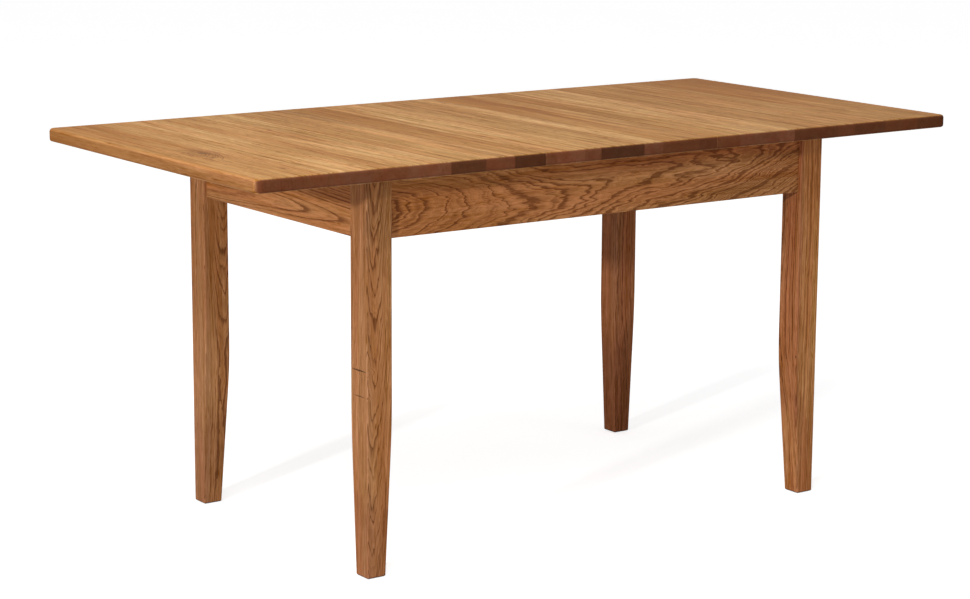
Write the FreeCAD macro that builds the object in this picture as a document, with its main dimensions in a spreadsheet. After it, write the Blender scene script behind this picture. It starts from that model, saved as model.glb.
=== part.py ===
import FreeCAD, Part
import Sketcher
import math
import os
import re

# Extending dining table in solid oak, shown open with its centre leaf in.
#
# Frame: X runs along the length, Y from the front to the back, Z up.  The origin is on the floor under the
# middle of the table.  A fixed frame of four legs and four aprons carries two cross rails and two track
# rails.  Each half top rides on two grooved runners and slides outwards; the centre leaf lifts straight out.
#
# Every size is a cell of the sheet "Sizes", in millimetres.  Bodies are built in a local frame of their own
# and take their place from the same cells.

SIZES = [
    # overall
    ("table_height", 760, "floor to the upper face of the top"),
    ("top_length", 1600, "length of the open top, centre leaf included"),
    ("top_width", 790, "front edge to back edge of the top"),
    ("top_thickness", 25, "thickness of the half tops"),
    ("leaf_length", 400, "length of the centre leaf along X"),
    ("top_corner_radius", 14, "plan radius of the four corners of the top"),
    ("top_upper_round", 6, "rounding of the upper outer arris"),
    ("top_lower_round", 5, "rounding of the lower outer arris"),
    ("seam_chamfer", 0.6, "eased arris at both sides of a seam"),
    ("seam_gap", 0.4, "gap between the leaf and each half top"),
    ("leaf_lift", 0.4, "gap between the leaf and the runners under it"),
    # frame
    ("end_overhang", 265, "top past the outer faces of the legs, at each end"),
    ("side_overhang", 75, "top past the outer faces of the legs, at the front and the back"),
    ("slide_clearance", 0.5, "gap between the frame and the sliding half tops"),
    ("leg_section", 54, "side of the square leg"),
    ("leg_round", 2.5, "rounding of the long arrises of the leg"),
    ("foot_chamfer", 2.5, "chamfer round the foot"),
    ("foot_taper", 15, "how far the inner faces come in at the foot"),
    ("taper_height", 330, "height above the foot where the taper starts"),
    ("taper_curve", 100, "height of the curve at the start of the taper"),
    ("apron_height", 116, "height of the aprons"),
    ("apron_thickness", 20, "thickness of the aprons"),
    ("apron_setback", 8, "aprons behind the outer faces of the legs"),
    ("apron_round", 1.5, "rounding of the lower arrises of the aprons"),
    ("tenon_length", 28, "tenon of an apron in a leg"),
    ("tenon_thickness", 10, "thickness of the tenon"),
    ("tenon_shoulder", 14, "shoulder above and below the tenon"),
    ("joint_fit", 0.15, "glue clearance round tenons and housings"),
    # foot glides
    ("glide_height", 1.5, "glide below the foot"),
    ("glide_diameter", 24, "diameter of the glide"),
    ("glide_chamfer", 0.5, "chamfer round the lower edge of the glide"),
    ("glide_stem_diameter", 6, "stem of the glide"),
    ("glide_stem_length", 16, "stem of the glide in the leg"),
    # corner blocks, bolts and screws
    ("block_near", 34, "leg to the near edge of a corner block, along the apron"),
    ("block_land", 25, "width of the block where it meets the apron"),
    ("block_height", 90, "height of a corner block"),
    ("block_rise", 13, "corner block above the lower edge of the apron"),
    ("block_seat", 10, "wood left under the heads of the block screws"),
    ("bolt_diameter", 8, "hanger bolt"),
    ("bolt_grip", 30, "hanger bolt in the leg"),
    ("bolt_low", 22, "lower bolt above the underside of the block"),
    ("bolt_pitch", 46, "between the two bolts of a corner"),
    ("bolt_end", 4, "bolt past its nut"),
    ("washer_diameter", 22, "washer under the nut"),
    ("washer_thickness", 1.6, "washer under the nut"),
    ("nut_width", 13, "across the flats of the nut"),
    ("nut_height", 6.5, "height of the nut"),
    ("screw_diameter", 4, "wood screw"),
    ("screw_head", 8, "head of a wood screw"),
    ("screw_head_height", 3, "head of a wood screw"),
    ("screw_crown", 1.5, "rounding of the head of a wood screw"),
    ("screw_point", 4, "length of the point of a wood screw"),
    ("screw_tip", 1, "blunt end of the point"),
    ("screw_bite", 13, "wood screw in the piece that it holds"),
    ("hole_fit", 0.2, "hole over bolt or screw diameter"),
    ("counterbore", 10, "bore for a sunk screw head"),
    # cross rails and track rails
    ("cross_rail_inset", 205, "middle of a cross rail from the end of the frame"),
    ("cross_rail_thickness", 22, "thickness of a cross rail"),
    ("cross_rail_height", 60, "height of a cross rail"),
    ("housing_depth", 6, "cross rail let into the long apron"),
    ("track_end_gap", 27, "track rail from the end apron"),
    ("track_width", 26, "width of a track rail"),
    ("track_inset", 155, "middle of a track rail from the outer faces of the legs"),
    ("track_drop", 4, "top of the track rail below the half tops"),
    ("tongue_height", 10, "tongue of the track rail"),
    ("tongue_width", 7, "tongue past the face of the track rail"),
    ("tongue_level", 15, "upper face of the tongue below the half tops"),
    ("run_clearance", 0.5, "between a runner and the track rail"),
    ("track_seat", 25, "wood left over the heads of the track screws"),
    # runners and stops
    ("runner_length", 720, "length of a runner"),
    ("runner_width", 24, "width of a runner"),
    ("runner_height", 40, "height of a runner"),
    ("runner_end_clearance", 2, "runner from the end apron at the end of the travel"),
    ("runner_drop", 5, "cross rails below the runners"),
    ("runner_relief", 1, "top of a runner cut down past its own half top"),
    ("end_chamfer", 2, "eased lower ends of the runners and the leaf battens"),
    ("runner_seat", 27, "wood left over the heads of the runner screws"),
    ("runner_screw_end", 30, "first runner screw from the outer end"),
    ("runner_screw_seam", 15, "last runner screw from the seam"),
    ("draw_travel", 35, "outward travel of a half top from the leaf"),
    ("stop_clearance", 1, "stop block from the cross rail at the end of the travel"),
    ("stop_length", 30, "stop block along the runner"),
    ("stop_height", 20, "stop block below the runner"),
    # leaf battens
    ("batten_inset", 30, "end of a leaf batten from the edge of the leaf"),
    ("batten_width", 30, "width of a leaf batten"),
    ("batten_height", 20, "height of a leaf batten"),
    ("batten_clearance", 1, "leaf batten from the inner runners"),
    ("batten_seat", 12, "wood left over the heads of the batten screws"),
    ("batten_screw_end", 40, "first batten screw from the end"),
    # seam plates
    ("plate_length", 70, "seam plate along X"),
    ("plate_reach", 25, "seam plate under the leaf"),
    ("plate_width", 40, "seam plate along Y"),
    ("plate_thickness", 3, "steel of the seam plate"),
    ("plate_round", 5, "corners of the seam plate"),
    ("plate_runner_gap", 22.5, "outer seam plate from the outer runner"),
    ("plate_batten_gap", 16.5, "inner seam plate from the leaf batten"),
    ("plate_screw_edge", 12, "first plate screw from the edge of the plate"),
    ("plate_screw_pitch", 20, "between the two screws of a plate"),
]

# Places that several pieces share, written as sums of cells.
TOP_UNDERSIDE = "(table_height - top_thickness)"
FRAME_TOP = "(table_height - top_thickness - slide_clearance)"
APRON_BOTTOM = "(table_height - top_thickness - slide_clearance - apron_height)"
APRON_INNER = "(apron_setback + apron_thickness)"
FRAME_LENGTH = "(top_length - 2 * end_overhang)"
FRAME_WIDTH = "(top_width - 2 * side_overhang)"
LONG_SPAN = f"({FRAME_LENGTH} - 2 * leg_section)"
END_SPAN = f"({FRAME_WIDTH} - 2 * leg_section)"
BLOCK_BOTTOM = f"({APRON_BOTTOM} + block_rise)"
RAIL_TOP = f"({TOP_UNDERSIDE} - runner_height - runner_drop)"
RAIL_BOTTOM = f"({RAIL_TOP} - cross_rail_height)"
TRACK_TOP = f"({TOP_UNDERSIDE} - track_drop)"
BOLT_LOW = f"({BLOCK_BOTTOM} + bolt_low)"
BOLT_HIGH = f"({BLOCK_BOTTOM} + bolt_low + bolt_pitch)"
HALF_LENGTH = "((top_length - leaf_length) / 2 - seam_gap)"
TRACK_CENTRE = f"({FRAME_WIDTH} / 2 - track_inset)"
RUNNER_OFFSET = "(track_width / 2 + run_clearance + runner_width / 2)"
OUTER_RUNNER = f"({TRACK_CENTRE} + {RUNNER_OFFSET})"
INNER_RUNNER = f"({TRACK_CENTRE} - {RUNNER_OFFSET})"
BATTEN_CENTRE = f"({INNER_RUNNER} - runner_width / 2 - batten_clearance - batten_width / 2)"
PLATE_OUTER = f"({OUTER_RUNNER} + runner_width / 2 + plate_runner_gap + plate_width / 2)"
PLATE_INNER = f"({BATTEN_CENTRE} - batten_width / 2 - plate_batten_gap - plate_width / 2)"
BATTEN_LENGTH = "(leaf_length - 2 * batten_inset)"
CROSS_RAIL = f"({FRAME_LENGTH} / 2 - cross_rail_inset)"
TRACK_LENGTH = f"({FRAME_LENGTH} - 2 * {APRON_INNER} - 2 * track_end_gap)"
RUNNER_END = f"({FRAME_LENGTH} / 2 - {APRON_INNER} - draw_travel - runner_end_clearance)"
STOP_MIDDLE = f"({CROSS_RAIL} - cross_rail_thickness / 2 - draw_travel - stop_clearance - stop_length / 2)"
LEAF_UNDERSIDE = f"({TOP_UNDERSIDE} + leaf_lift)"
SCREW_HOLE = "(screw_diameter + hole_fit)"
BOLT_HOLE = "(bolt_diameter + hole_fit)"

SCREWS_PER_RUNNER = 3
SCREWS_PER_PLATE = 2
NUT_FLATS = 6

# Two coordinates nearer than this are the same one.
SAME_PLACE = 1e-4

X_AXIS = FreeCAD.Vector(1, 0, 0)
Y_AXIS = FreeCAD.Vector(0, 1, 0)
Z_AXIS = FreeCAD.Vector(0, 0, 1)

doc = FreeCAD.newDocument("extending_table")


# ---------------------------------------------------------------- sheet and expressions

def make_sheet():
    """Write every driving size to the sheet, as text, with its alias and a note."""
    table = doc.addObject("Spreadsheet::Sheet", "Sizes")
    for row, (alias, value, note) in enumerate(SIZES, start=1):
        table.set(f"A{row}", alias)
        table.set(f"B{row}", str(value))
        table.set(f"C{row}", note)
        table.setAlias(f"B{row}", alias)
    doc.recompute()
    return table


sheet = make_sheet()


def bound(text):
    """An expression in which each word is a cell of the sheet."""
    return re.sub(r"[a-z_]+", lambda word: "Sizes." + word.group(0), text)


def size(alias):
    """The present value of one cell."""
    return float(sheet.get(alias))


# ---------------------------------------------------------------- sketches and features

def new_body(label):
    body = doc.addObject("PartDesign::Body", label)
    body.Label = label
    return body


def origin_plane(body, role):
    for feature in body.Origin.OriginFeatures:
        if feature.Role == role:
            return feature
    raise RuntimeError(f"{body.Label} has no {role}")


def new_sketch(body, name, role, level=None):
    """A sketch on an origin plane of its own body, moved along the plane's normal to a level."""
    sketch = body.newObject("Sketcher::SketchObject", name)
    sketch.AttachmentSupport = [(origin_plane(body, role), "")]
    sketch.MapMode = "FlatFace"
    if level is not None:
        sketch.setExpression("AttachmentOffset.Base.z", bound(level))
    return sketch


def fix_point(sketch, geometry, point, x, y):
    """Hold a point at x, y from the sketch's origin; "0" puts it on the axis."""
    now = sketch.getPoint(geometry, point)
    for kind, axis, text, value in (("DistanceX", -2, x, now.x), ("DistanceY", -1, y, now.y)):
        if text == "0":
            sketch.addConstraint(Sketcher.Constraint("PointOnObject", geometry, point, axis))
            continue
        index = sketch.addConstraint(Sketcher.Constraint(kind, -1, 1, geometry, point, value))
        name = f"{kind}_{geometry}_{point}"
        sketch.renameConstraint(index, name)
        sketch.setExpression(f"Constraints.{name}", bound(text))


def outline(sketch, points):
    """A closed polygon whose corners are given as expressions."""
    first = sketch.GeometryCount
    count = len(points)
    for number in range(count):
        start = FreeCAD.Vector(math.cos(number), math.sin(number), 0)
        end = FreeCAD.Vector(math.cos(number + 1), math.sin(number + 1), 0)
        sketch.addGeometry(Part.LineSegment(start, end), False)
    for number, (x, y) in enumerate(points):
        line = first + number
        following = first + (number + 1) % count
        sketch.addConstraint(Sketcher.Constraint("Coincident", line, 2, following, 1))
        fix_point(sketch, line, 1, x, y)


def rectangle(sketch, x, y, width, height):
    """A rectangle from its lower left corner."""
    right = width if x == "0" else f"{x} + {width}"
    top = height if y == "0" else f"{y} + {height}"
    outline(sketch, [(x, y), (right, y), (right, top), (x, top)])


def circles(sketch, centres, diameter):
    """Circles of one diameter at the centres given."""
    for x, y in centres:
        index = sketch.addGeometry(Part.Circle(FreeCAD.Vector(1, 1, 0), Z_AXIS, 1.0), False)
        fix_point(sketch, index, 3, x, y)
        constraint = sketch.addConstraint(Sketcher.Constraint("Diameter", index, 2.0))
        name = f"Diameter_{index}"
        sketch.renameConstraint(constraint, name)
        sketch.setExpression(f"Constraints.{name}", bound(diameter))


def pad(body, name, sketch, length, backwards=False):
    feature = body.newObject("PartDesign::Pad", name)
    feature.Profile = sketch
    feature.setExpression("Length", bound(length))
    feature.Reversed = backwards
    doc.recompute()
    return feature


def pocket(body, name, sketch, depth=None, backwards=False):
    """Cut a sketch to a depth, or right through, and make sure that wood was taken away."""
    before = body.Shape.Volume
    feature = body.newObject("PartDesign::Pocket", name)
    feature.Profile = sketch
    feature.Reversed = backwards
    if depth is None:
        feature.Type = "ThroughAll"
    else:
        feature.setExpression("Length", bound(depth))
    doc.recompute()
    if body.Shape.Volume >= before:
        raise RuntimeError(f"{body.Label}: {name} cuts nothing")
    return feature


def edge_names(shape, wanted):
    """Names of the edges whose bounding box passes the test."""
    return [f"Edge{number}" for number, edge in enumerate(shape.Edges, start=1) if wanted(edge.BoundBox)]


def fillet(body, name, wanted, radius):
    base = body.Tip
    feature = body.newObject("PartDesign::Fillet", name)
    feature.Base = (base, edge_names(base.Shape, wanted))
    feature.setExpression("Radius", bound(radius))
    doc.recompute()
    return feature


def chamfer(body, name, wanted, width):
    base = body.Tip
    feature = body.newObject("PartDesign::Chamfer", name)
    feature.Base = (base, edge_names(base.Shape, wanted))
    feature.setExpression("Size", bound(width))
    doc.recompute()
    return feature


def near(value, target):
    return abs(value - target) < SAME_PLACE


def upright(box):
    """True for an edge that runs along Z."""
    return near(box.XMin, box.XMax) and near(box.YMin, box.YMax)


def low_end(box, length):
    """True for the lower edge across either end of a bar that lies along X from 0 to length."""
    across = near(box.XMin, box.XMax) and near(box.ZMax, 0)
    return across and (near(box.XMin, 0) or near(box.XMax, length))


def place(body, x, y, z, turn=0):
    """Turn a body about Z and bind its place to the sheet."""
    body.Placement = FreeCAD.Placement(FreeCAD.Vector(0, 0, 0), FreeCAD.Rotation(Z_AXIS, turn))
    for axis, text in zip("xyz", (x, y, z)):
        if text != "0":
            body.setExpression(f"Placement.Base.{axis}", bound(text))


# Corners of the frame: name, side along X, side along Y, turn of the local frame.  In the local frame the
# outer corner is the origin and the leg grows towards +X and +Y.
CORNERS = [
    ("front_left", -1, -1, 0),
    ("front_right", 1, -1, 90),
    ("rear_right", 1, 1, 180),
    ("rear_left", -1, 1, 270),
]


def place_at_corner(body, corner, z):
    _, side_x, side_y, turn = corner
    x = f"{side_x} * {FRAME_LENGTH} / 2"
    y = f"{side_y} * {FRAME_WIDTH} / 2"
    place(body, x, y, z, turn)


def diagonal_sketch(body, name):
    """A sketch square to the diagonal of the leg, through its inner arris, looking away from the leg."""
    sketch = new_sketch(body, name, "XZ_Plane", "-1 * leg_section")
    sketch.AttachmentOffset = FreeCAD.Placement(FreeCAD.Vector(0, 0, 0), FreeCAD.Rotation(Y_AXIS, 135))
    sketch.setExpression("AttachmentOffset.Base.x", bound("leg_section"))
    return sketch


# ---------------------------------------------------------------- legs and glides

def taper_sketch(body, name, role):
    """The wood taken off one inner face: a straight taper that runs into the face through an arc."""
    sketch = new_sketch(body, name, role)
    side, come_in = size("leg_section"), size("foot_taper")
    start, curve = size("taper_height"), size("taper_curve")
    clear = side + come_in
    radius = (curve * curve / 2 + curve * (start - curve)) / come_in
    swing = math.asin(curve / radius)
    centre = FreeCAD.Vector(side - radius, start, 0)
    low = FreeCAD.Vector(centre.x + radius * math.cos(swing), start - curve, 0)
    foot = FreeCAD.Vector(side - come_in, 0, 0)
    high = FreeCAD.Vector(side, start, 0)
    out_high = FreeCAD.Vector(clear, start, 0)
    out_low = FreeCAD.Vector(clear, 0, 0)
    circle = Part.Circle(centre, Z_AXIS, radius)
    line = sketch.addGeometry(Part.LineSegment(foot, low), False)
    arc = sketch.addGeometry(Part.ArcOfCircle(circle, -swing, 0), False)
    upper = sketch.addGeometry(Part.LineSegment(high, out_high), False)
    outer = sketch.addGeometry(Part.LineSegment(out_high, out_low), False)
    lower = sketch.addGeometry(Part.LineSegment(out_low, foot), False)
    for kind, *rest in (
        ("Tangent", line, 2, arc, 1), ("Coincident", arc, 2, upper, 1), ("Coincident", upper, 2, outer, 1),
        ("Coincident", outer, 2, lower, 1), ("Coincident", lower, 2, line, 1),
        ("Horizontal", upper), ("Vertical", outer), ("Horizontal", arc, 3, arc, 2),
    ):
        sketch.addConstraint(Sketcher.Constraint(kind, *rest))
    fix_point(sketch, line, 1, "leg_section - foot_taper", "0")
    fix_point(sketch, arc, 2, "leg_section", "taper_height")
    fix_point(sketch, outer, 2, "leg_section + foot_taper", "0")
    name = "curve_height"
    index = sketch.addConstraint(Sketcher.Constraint("DistanceY", line, 2, arc, 2, curve))
    sketch.renameConstraint(index, name)
    sketch.setExpression(f"Constraints.{name}", bound("taper_curve"))
    return sketch


def make_leg(corner):
    """Square post with two tapered inner faces, two mortises, two bolt holes and the bore of its glide."""
    body = new_body(f"leg_{corner[0]}")
    square = new_sketch(body, "section", "XY_Plane")
    rectangle(square, "0", "0", "leg_section", "leg_section")
    pad(body, "post", square, f"{FRAME_TOP} - glide_height")
    pocket(body, "taper_x", taper_sketch(body, "taper_x_line", "XZ_Plane"))
    pocket(body, "taper_y", taper_sketch(body, "taper_y_line", "YZ_Plane"), backwards=True)
    chamfer(body, "foot_edge", lambda box: near(box.ZMax, 0), "foot_chamfer")
    fillet(body, "long_arrises", lambda box: box.ZLength > 2 * size("foot_chamfer"), "leg_round")

    mortise_low = f"{APRON_BOTTOM} + tenon_shoulder - joint_fit - glide_height"
    mortise_height = "apron_height - 2 * tenon_shoulder + 2 * joint_fit"
    mortise_side = "apron_setback + (apron_thickness - tenon_thickness) / 2 - joint_fit"
    mortise_width = "tenon_thickness + 2 * joint_fit"
    depth = "tenon_length + joint_fit"
    for name, role, level, backwards in (
        ("mortise_x", "YZ_Plane", "leg_section", False),
        ("mortise_y", "XZ_Plane", "-1 * leg_section", True),
    ):
        sketch = new_sketch(body, f"{name}_outline", role, level)
        rectangle(sketch, mortise_side, mortise_low, mortise_width, mortise_height)
        pocket(body, name, sketch, depth, backwards)

    bolts = diagonal_sketch(body, "bolt_holes_outline")
    circles(bolts, [("0", f"{BOLT_LOW} - glide_height"), ("0", f"{BOLT_HIGH} - glide_height")], BOLT_HOLE)
    pocket(body, "bolt_holes", bolts, "bolt_grip + hole_fit")

    stem = new_sketch(body, "glide_bore_outline", "XY_Plane")
    middle = "(leg_section - foot_taper) / 2"
    circles(stem, [(middle, middle)], "glide_stem_diameter + hole_fit")
    pocket(body, "glide_bore", stem, "glide_stem_length + hole_fit", backwards=True)
    place_at_corner(body, corner, "glide_height")
    return body


def make_glide(corner):
    """Nailed plastic glide: a low disc under the foot with a stem in the leg."""
    body = new_body(f"foot_glide_{corner[0]}")
    middle = "(leg_section - foot_taper) / 2"
    for name, diameter, length in (
        ("disc", "glide_diameter", "glide_height"),
        ("stem", "glide_stem_diameter", "glide_height + glide_stem_length"),
    ):
        sketch = new_sketch(body, f"{name}_outline", "XY_Plane")
        circles(sketch, [(middle, middle)], diameter)
        pad(body, name, sketch, length)
    chamfer(body, "disc_edge", lambda box: near(box.ZMax, 0), "glide_chamfer")
    place_at_corner(body, corner, "0")
    return body


# ---------------------------------------------------------------- aprons and corner blocks

def block_screw_heights(base):
    """Heights of the screws between and beside the bolts of a corner block."""
    return [f"{base} + bolt_low / 2", f"{base} + bolt_low + bolt_pitch / 2"]


# Aprons: name, span between shoulders, turn of the local frame, sides along X and Y where that frame's origin
# stands, and whether the cross rails are let into it.
APRONS = [
    ("apron_front", LONG_SPAN, 0, -1, -1, True),
    ("apron_rear", LONG_SPAN, 180, 1, 1, True),
    ("apron_left", END_SPAN, 270, -1, 1, False),
    ("apron_right", END_SPAN, 90, 1, -1, False),
]


def make_apron(label, span, turn, x, y, housed):
    """Board with a tenon at each end; the long ones are housed for the cross rails.

    Local frame: X along the apron from one shoulder to the other, outer face at Y = 0, lower edge at Z = 0.
    """
    body = new_body(label)
    face = new_sketch(body, "face", "XZ_Plane")
    rectangle(face, "0", "0", span, "apron_height")
    pad(body, "board", face, "apron_thickness", backwards=True)
    fillet(body, "lower_arrises", lambda box: near(box.ZMax, 0) and box.XLength > box.YLength, "apron_round")

    tenon = new_sketch(body, "tenon_section", "YZ_Plane", "-1 * tenon_length")
    rectangle(tenon, "(apron_thickness - tenon_thickness) / 2", "tenon_shoulder", "tenon_thickness",
              "apron_height - 2 * tenon_shoulder")
    pad(body, "tenons", tenon, f"{span} + 2 * tenon_length")

    pilots = new_sketch(body, "pilot_holes_outline", "XZ_Plane", "-1 * apron_thickness")
    from_end = "(block_near + block_land / 2)"
    holes = [(along, height) for along in (from_end, f"{span} - {from_end}")
             for height in block_screw_heights("block_rise")]
    circles(pilots, holes, SCREW_HOLE)
    pocket(body, "pilot_holes", pilots, "screw_bite + hole_fit", backwards=True)

    if housed:
        housing = new_sketch(body, "housings_outline", "XZ_Plane", "-1 * apron_thickness")
        for side in ("-", "+"):
            left = f"{span} / 2 {side} {CROSS_RAIL} - cross_rail_thickness / 2 - joint_fit"
            rectangle(housing, left, f"{RAIL_BOTTOM} - {APRON_BOTTOM} - joint_fit",
                      "cross_rail_thickness + 2 * joint_fit", "cross_rail_height + 2 * joint_fit")
        pocket(body, "housings", housing, "housing_depth + joint_fit", backwards=True)
    place(body, x, y, APRON_BOTTOM, turn)
    return body


def make_corner_block(corner):
    """Diagonal block between two aprons, bored for two hanger bolts and four wood screws."""
    body = new_body(f"corner_block_{corner[0]}")
    near_edge = "leg_section + block_near"
    far_edge = "leg_section + block_near + block_land"
    plan = new_sketch(body, "plan", "XY_Plane", f"{BLOCK_BOTTOM}")
    outline(plan, [(APRON_INNER, near_edge), (near_edge, APRON_INNER), (far_edge, APRON_INNER),
                   (APRON_INNER, far_edge)])
    pad(body, "block", plan, "block_height")

    bolts = diagonal_sketch(body, "bolt_holes_outline")
    circles(bolts, [("0", BOLT_LOW), ("0", BOLT_HIGH)], BOLT_HOLE)
    pocket(body, "bolt_holes", bolts, backwards=True)

    along = "leg_section + block_near + block_land / 2"
    holes = [(along, height) for height in block_screw_heights(BLOCK_BOTTOM)]
    seat = f"({APRON_INNER} + block_seat)"
    for name, role, sign, backwards in (("x", "XZ_Plane", "-1 * ", False), ("y", "YZ_Plane", "", True)):
        shank = new_sketch(body, f"shank_holes_{name}_outline", role)
        circles(shank, holes, SCREW_HOLE)
        pocket(body, f"shank_holes_{name}", shank, backwards=backwards)
        sunk = new_sketch(body, f"head_bores_{name}_outline", role, f"{sign}{seat}")
        circles(sunk, holes, "counterbore")
        pocket(body, f"head_bores_{name}", sunk, backwards=backwards)
    place_at_corner(body, corner, "0")
    return body


# ---------------------------------------------------------------- cross rails and track rails

def make_cross_rail(label, side):
    """Rail from one long apron to the other; the track rails lie on it and are screwed from below."""
    body = new_body(label)
    length = f"({FRAME_WIDTH} - 2 * {APRON_INNER} + 2 * housing_depth)"
    section = new_sketch(body, "section", "XZ_Plane")
    rectangle(section, "0", "0", "cross_rail_thickness", "cross_rail_height")
    pad(body, "rail", section, length, backwards=True)

    middle = "cross_rail_thickness / 2"
    holes = [(middle, f"{length} / 2 {sign} {TRACK_CENTRE}") for sign in "-+"]
    shank = new_sketch(body, "shank_holes_outline", "XY_Plane")
    circles(shank, holes, SCREW_HOLE)
    pocket(body, "shank_holes", shank, backwards=True)
    sunk = new_sketch(body, "head_bores_outline", "XY_Plane")
    circles(sunk, holes, "counterbore")
    pocket(body, "head_bores", sunk, "cross_rail_height - track_seat", backwards=True)
    x = f"{side} * {CROSS_RAIL} - cross_rail_thickness / 2"
    place(body, x, f"-1 * {length} / 2", RAIL_BOTTOM)
    return body


def make_track_rail(label, side):
    """Fixed rail with a tongue along each side, which holds the runners of both half tops."""
    body = new_body(label)
    section = new_sketch(body, "section", "YZ_Plane")
    half = "track_width / 2"
    wide = "track_width / 2 + tongue_width"
    top = f"{TRACK_TOP} - {RAIL_TOP}"
    tongue_top = f"{top} + track_drop - tongue_level"
    tongue_low = f"{tongue_top} - tongue_height"
    outline(section, [
        (f"-1 * ({half})", "0"), (half, "0"), (half, tongue_low), (wide, tongue_low), (wide, tongue_top),
        (half, tongue_top), (half, top), (f"-1 * ({half})", top), (f"-1 * ({half})", tongue_top),
        (f"-1 * ({wide})", tongue_top), (f"-1 * ({wide})", tongue_low), (f"-1 * ({half})", tongue_low),
    ])
    pad(body, "rail", section, TRACK_LENGTH)
    pilots = new_sketch(body, "pilot_holes_outline", "XY_Plane")
    circles(pilots, [(f"{TRACK_LENGTH} / 2 {sign} {CROSS_RAIL}", "0") for sign in "-+"], SCREW_HOLE)
    pocket(body, "pilot_holes", pilots, "screw_bite + hole_fit", backwards=True)
    place(body, f"-1 * {TRACK_LENGTH} / 2", f"{side} * {TRACK_CENTRE}", RAIL_TOP)
    return body


# ---------------------------------------------------------------- what slides with a half top

# Each half top: name, side along X, centre line of its runners from the middle of the table, and which side
# of the track rail its runners run on (1 outside, -1 inside).
HALVES = [
    ("left", -1, OUTER_RUNNER, 1),
    ("right", 1, INNER_RUNNER, -1),
]
# The front and rear one of each pair: name, side along Y.
PAIR = [("front", -1), ("rear", 1)]

# Screws of a runner, from its outer end: the first near that end, the last near the seam.
FIRST_TO_LAST = f"({RUNNER_END} - leaf_length / 2 - runner_screw_seam - runner_screw_end)"
RUNNER_SCREWS = [f"(runner_screw_end + {FIRST_TO_LAST} * {number} / {SCREWS_PER_RUNNER - 1})"
                 for number in range(SCREWS_PER_RUNNER)]


def make_runner(half, position, side_y):
    """Bar under a half top, grooved along the face that meets the track rail."""
    name, side_x, centre, outside = half
    body = new_body(f"runner_{name}_{position}")
    turned = side_x == 1
    # Local frame: X from the outer end inwards.  The groove looks at the track rail, and the turn of the
    # right half swaps the two faces.
    to_rail = -side_y * outside
    local_side = -to_rail if turned else to_rail
    section = new_sketch(body, "section", "YZ_Plane")
    groove_floor = "(runner_width / 2 - tongue_width)"
    upper = "runner_height - tongue_level + run_clearance"
    lower = "runner_height - tongue_level - tongue_height - run_clearance"
    rail_face = f"{local_side} * runner_width / 2"
    plain_face = f"{-local_side} * runner_width / 2"
    floor = f"{local_side} * {groove_floor}"
    outline(section, [
        (plain_face, "0"), (rail_face, "0"), (rail_face, lower), (floor, lower), (floor, upper),
        (rail_face, upper), (rail_face, "runner_height"), (plain_face, "runner_height"),
    ])
    pad(body, "bar", section, "runner_length")
    length = body.Shape.BoundBox.XLength
    chamfer(body, "ends", lambda box: low_end(box, length), "end_chamfer")
    relief = new_sketch(body, "relief_outline", "XZ_Plane", "runner_width / 2")
    past_seam = f"({RUNNER_END} - leaf_length / 2)"
    rectangle(relief, past_seam, "runner_height - runner_relief", f"runner_length - {past_seam}",
              "runner_relief")
    pocket(body, "relief", relief)
    shank = new_sketch(body, "shank_holes_outline", "XY_Plane")
    circles(shank, [(along, "0") for along in RUNNER_SCREWS], SCREW_HOLE)
    pocket(body, "shank_holes", shank, backwards=True)
    sunk = new_sketch(body, "head_bores_outline", "XY_Plane")
    circles(sunk, [(along, "0") for along in RUNNER_SCREWS], "counterbore")
    pocket(body, "head_bores", sunk, "runner_height - runner_seat", backwards=True)
    stop = new_sketch(body, "stop_screw_hole_outline", "XY_Plane")
    circles(stop, [(f"{RUNNER_END} - {STOP_MIDDLE}", "0")], SCREW_HOLE)
    pocket(body, "stop_screw_hole", stop, "screw_bite + hole_fit", backwards=True)
    level = f"{TOP_UNDERSIDE} - runner_height"
    place(body, f"{side_x} * {RUNNER_END}", f"{side_y} * {centre}", level, 180 if turned else 0)
    return body


def make_stop(half, position, side_y):
    """Block under a runner that meets the cross rail at the end of the travel."""
    name, side_x, centre, _ = half
    body = new_body(f"stop_block_{name}_{position}")
    plan = new_sketch(body, "plan", "XY_Plane")
    rectangle(plan, "0", "0", "stop_length", "runner_width")
    pad(body, "block", plan, "stop_height")
    shank = new_sketch(body, "shank_hole_outline", "XY_Plane")
    circles(shank, [("stop_length / 2", "runner_width / 2")], SCREW_HOLE)
    pocket(body, "shank_hole", shank, backwards=True)
    x = f"{side_x} * {STOP_MIDDLE} - stop_length / 2"
    y = f"{side_y} * {centre} - runner_width / 2"
    place(body, x, y, f"{TOP_UNDERSIDE} - runner_height - stop_height")
    return body


# Seam plates stand in a different row on each half, so that those of one half pass those of the other.
PLATE_ROWS = {
    "left": (f"-1 * {PLATE_OUTER}", PLATE_INNER),
    "right": (PLATE_OUTER, f"-1 * {PLATE_INNER}"),
}
PLATE_SCREWS = [f"plate_screw_edge + {number} * plate_screw_pitch" for number in range(SCREWS_PER_PLATE)]


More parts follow.
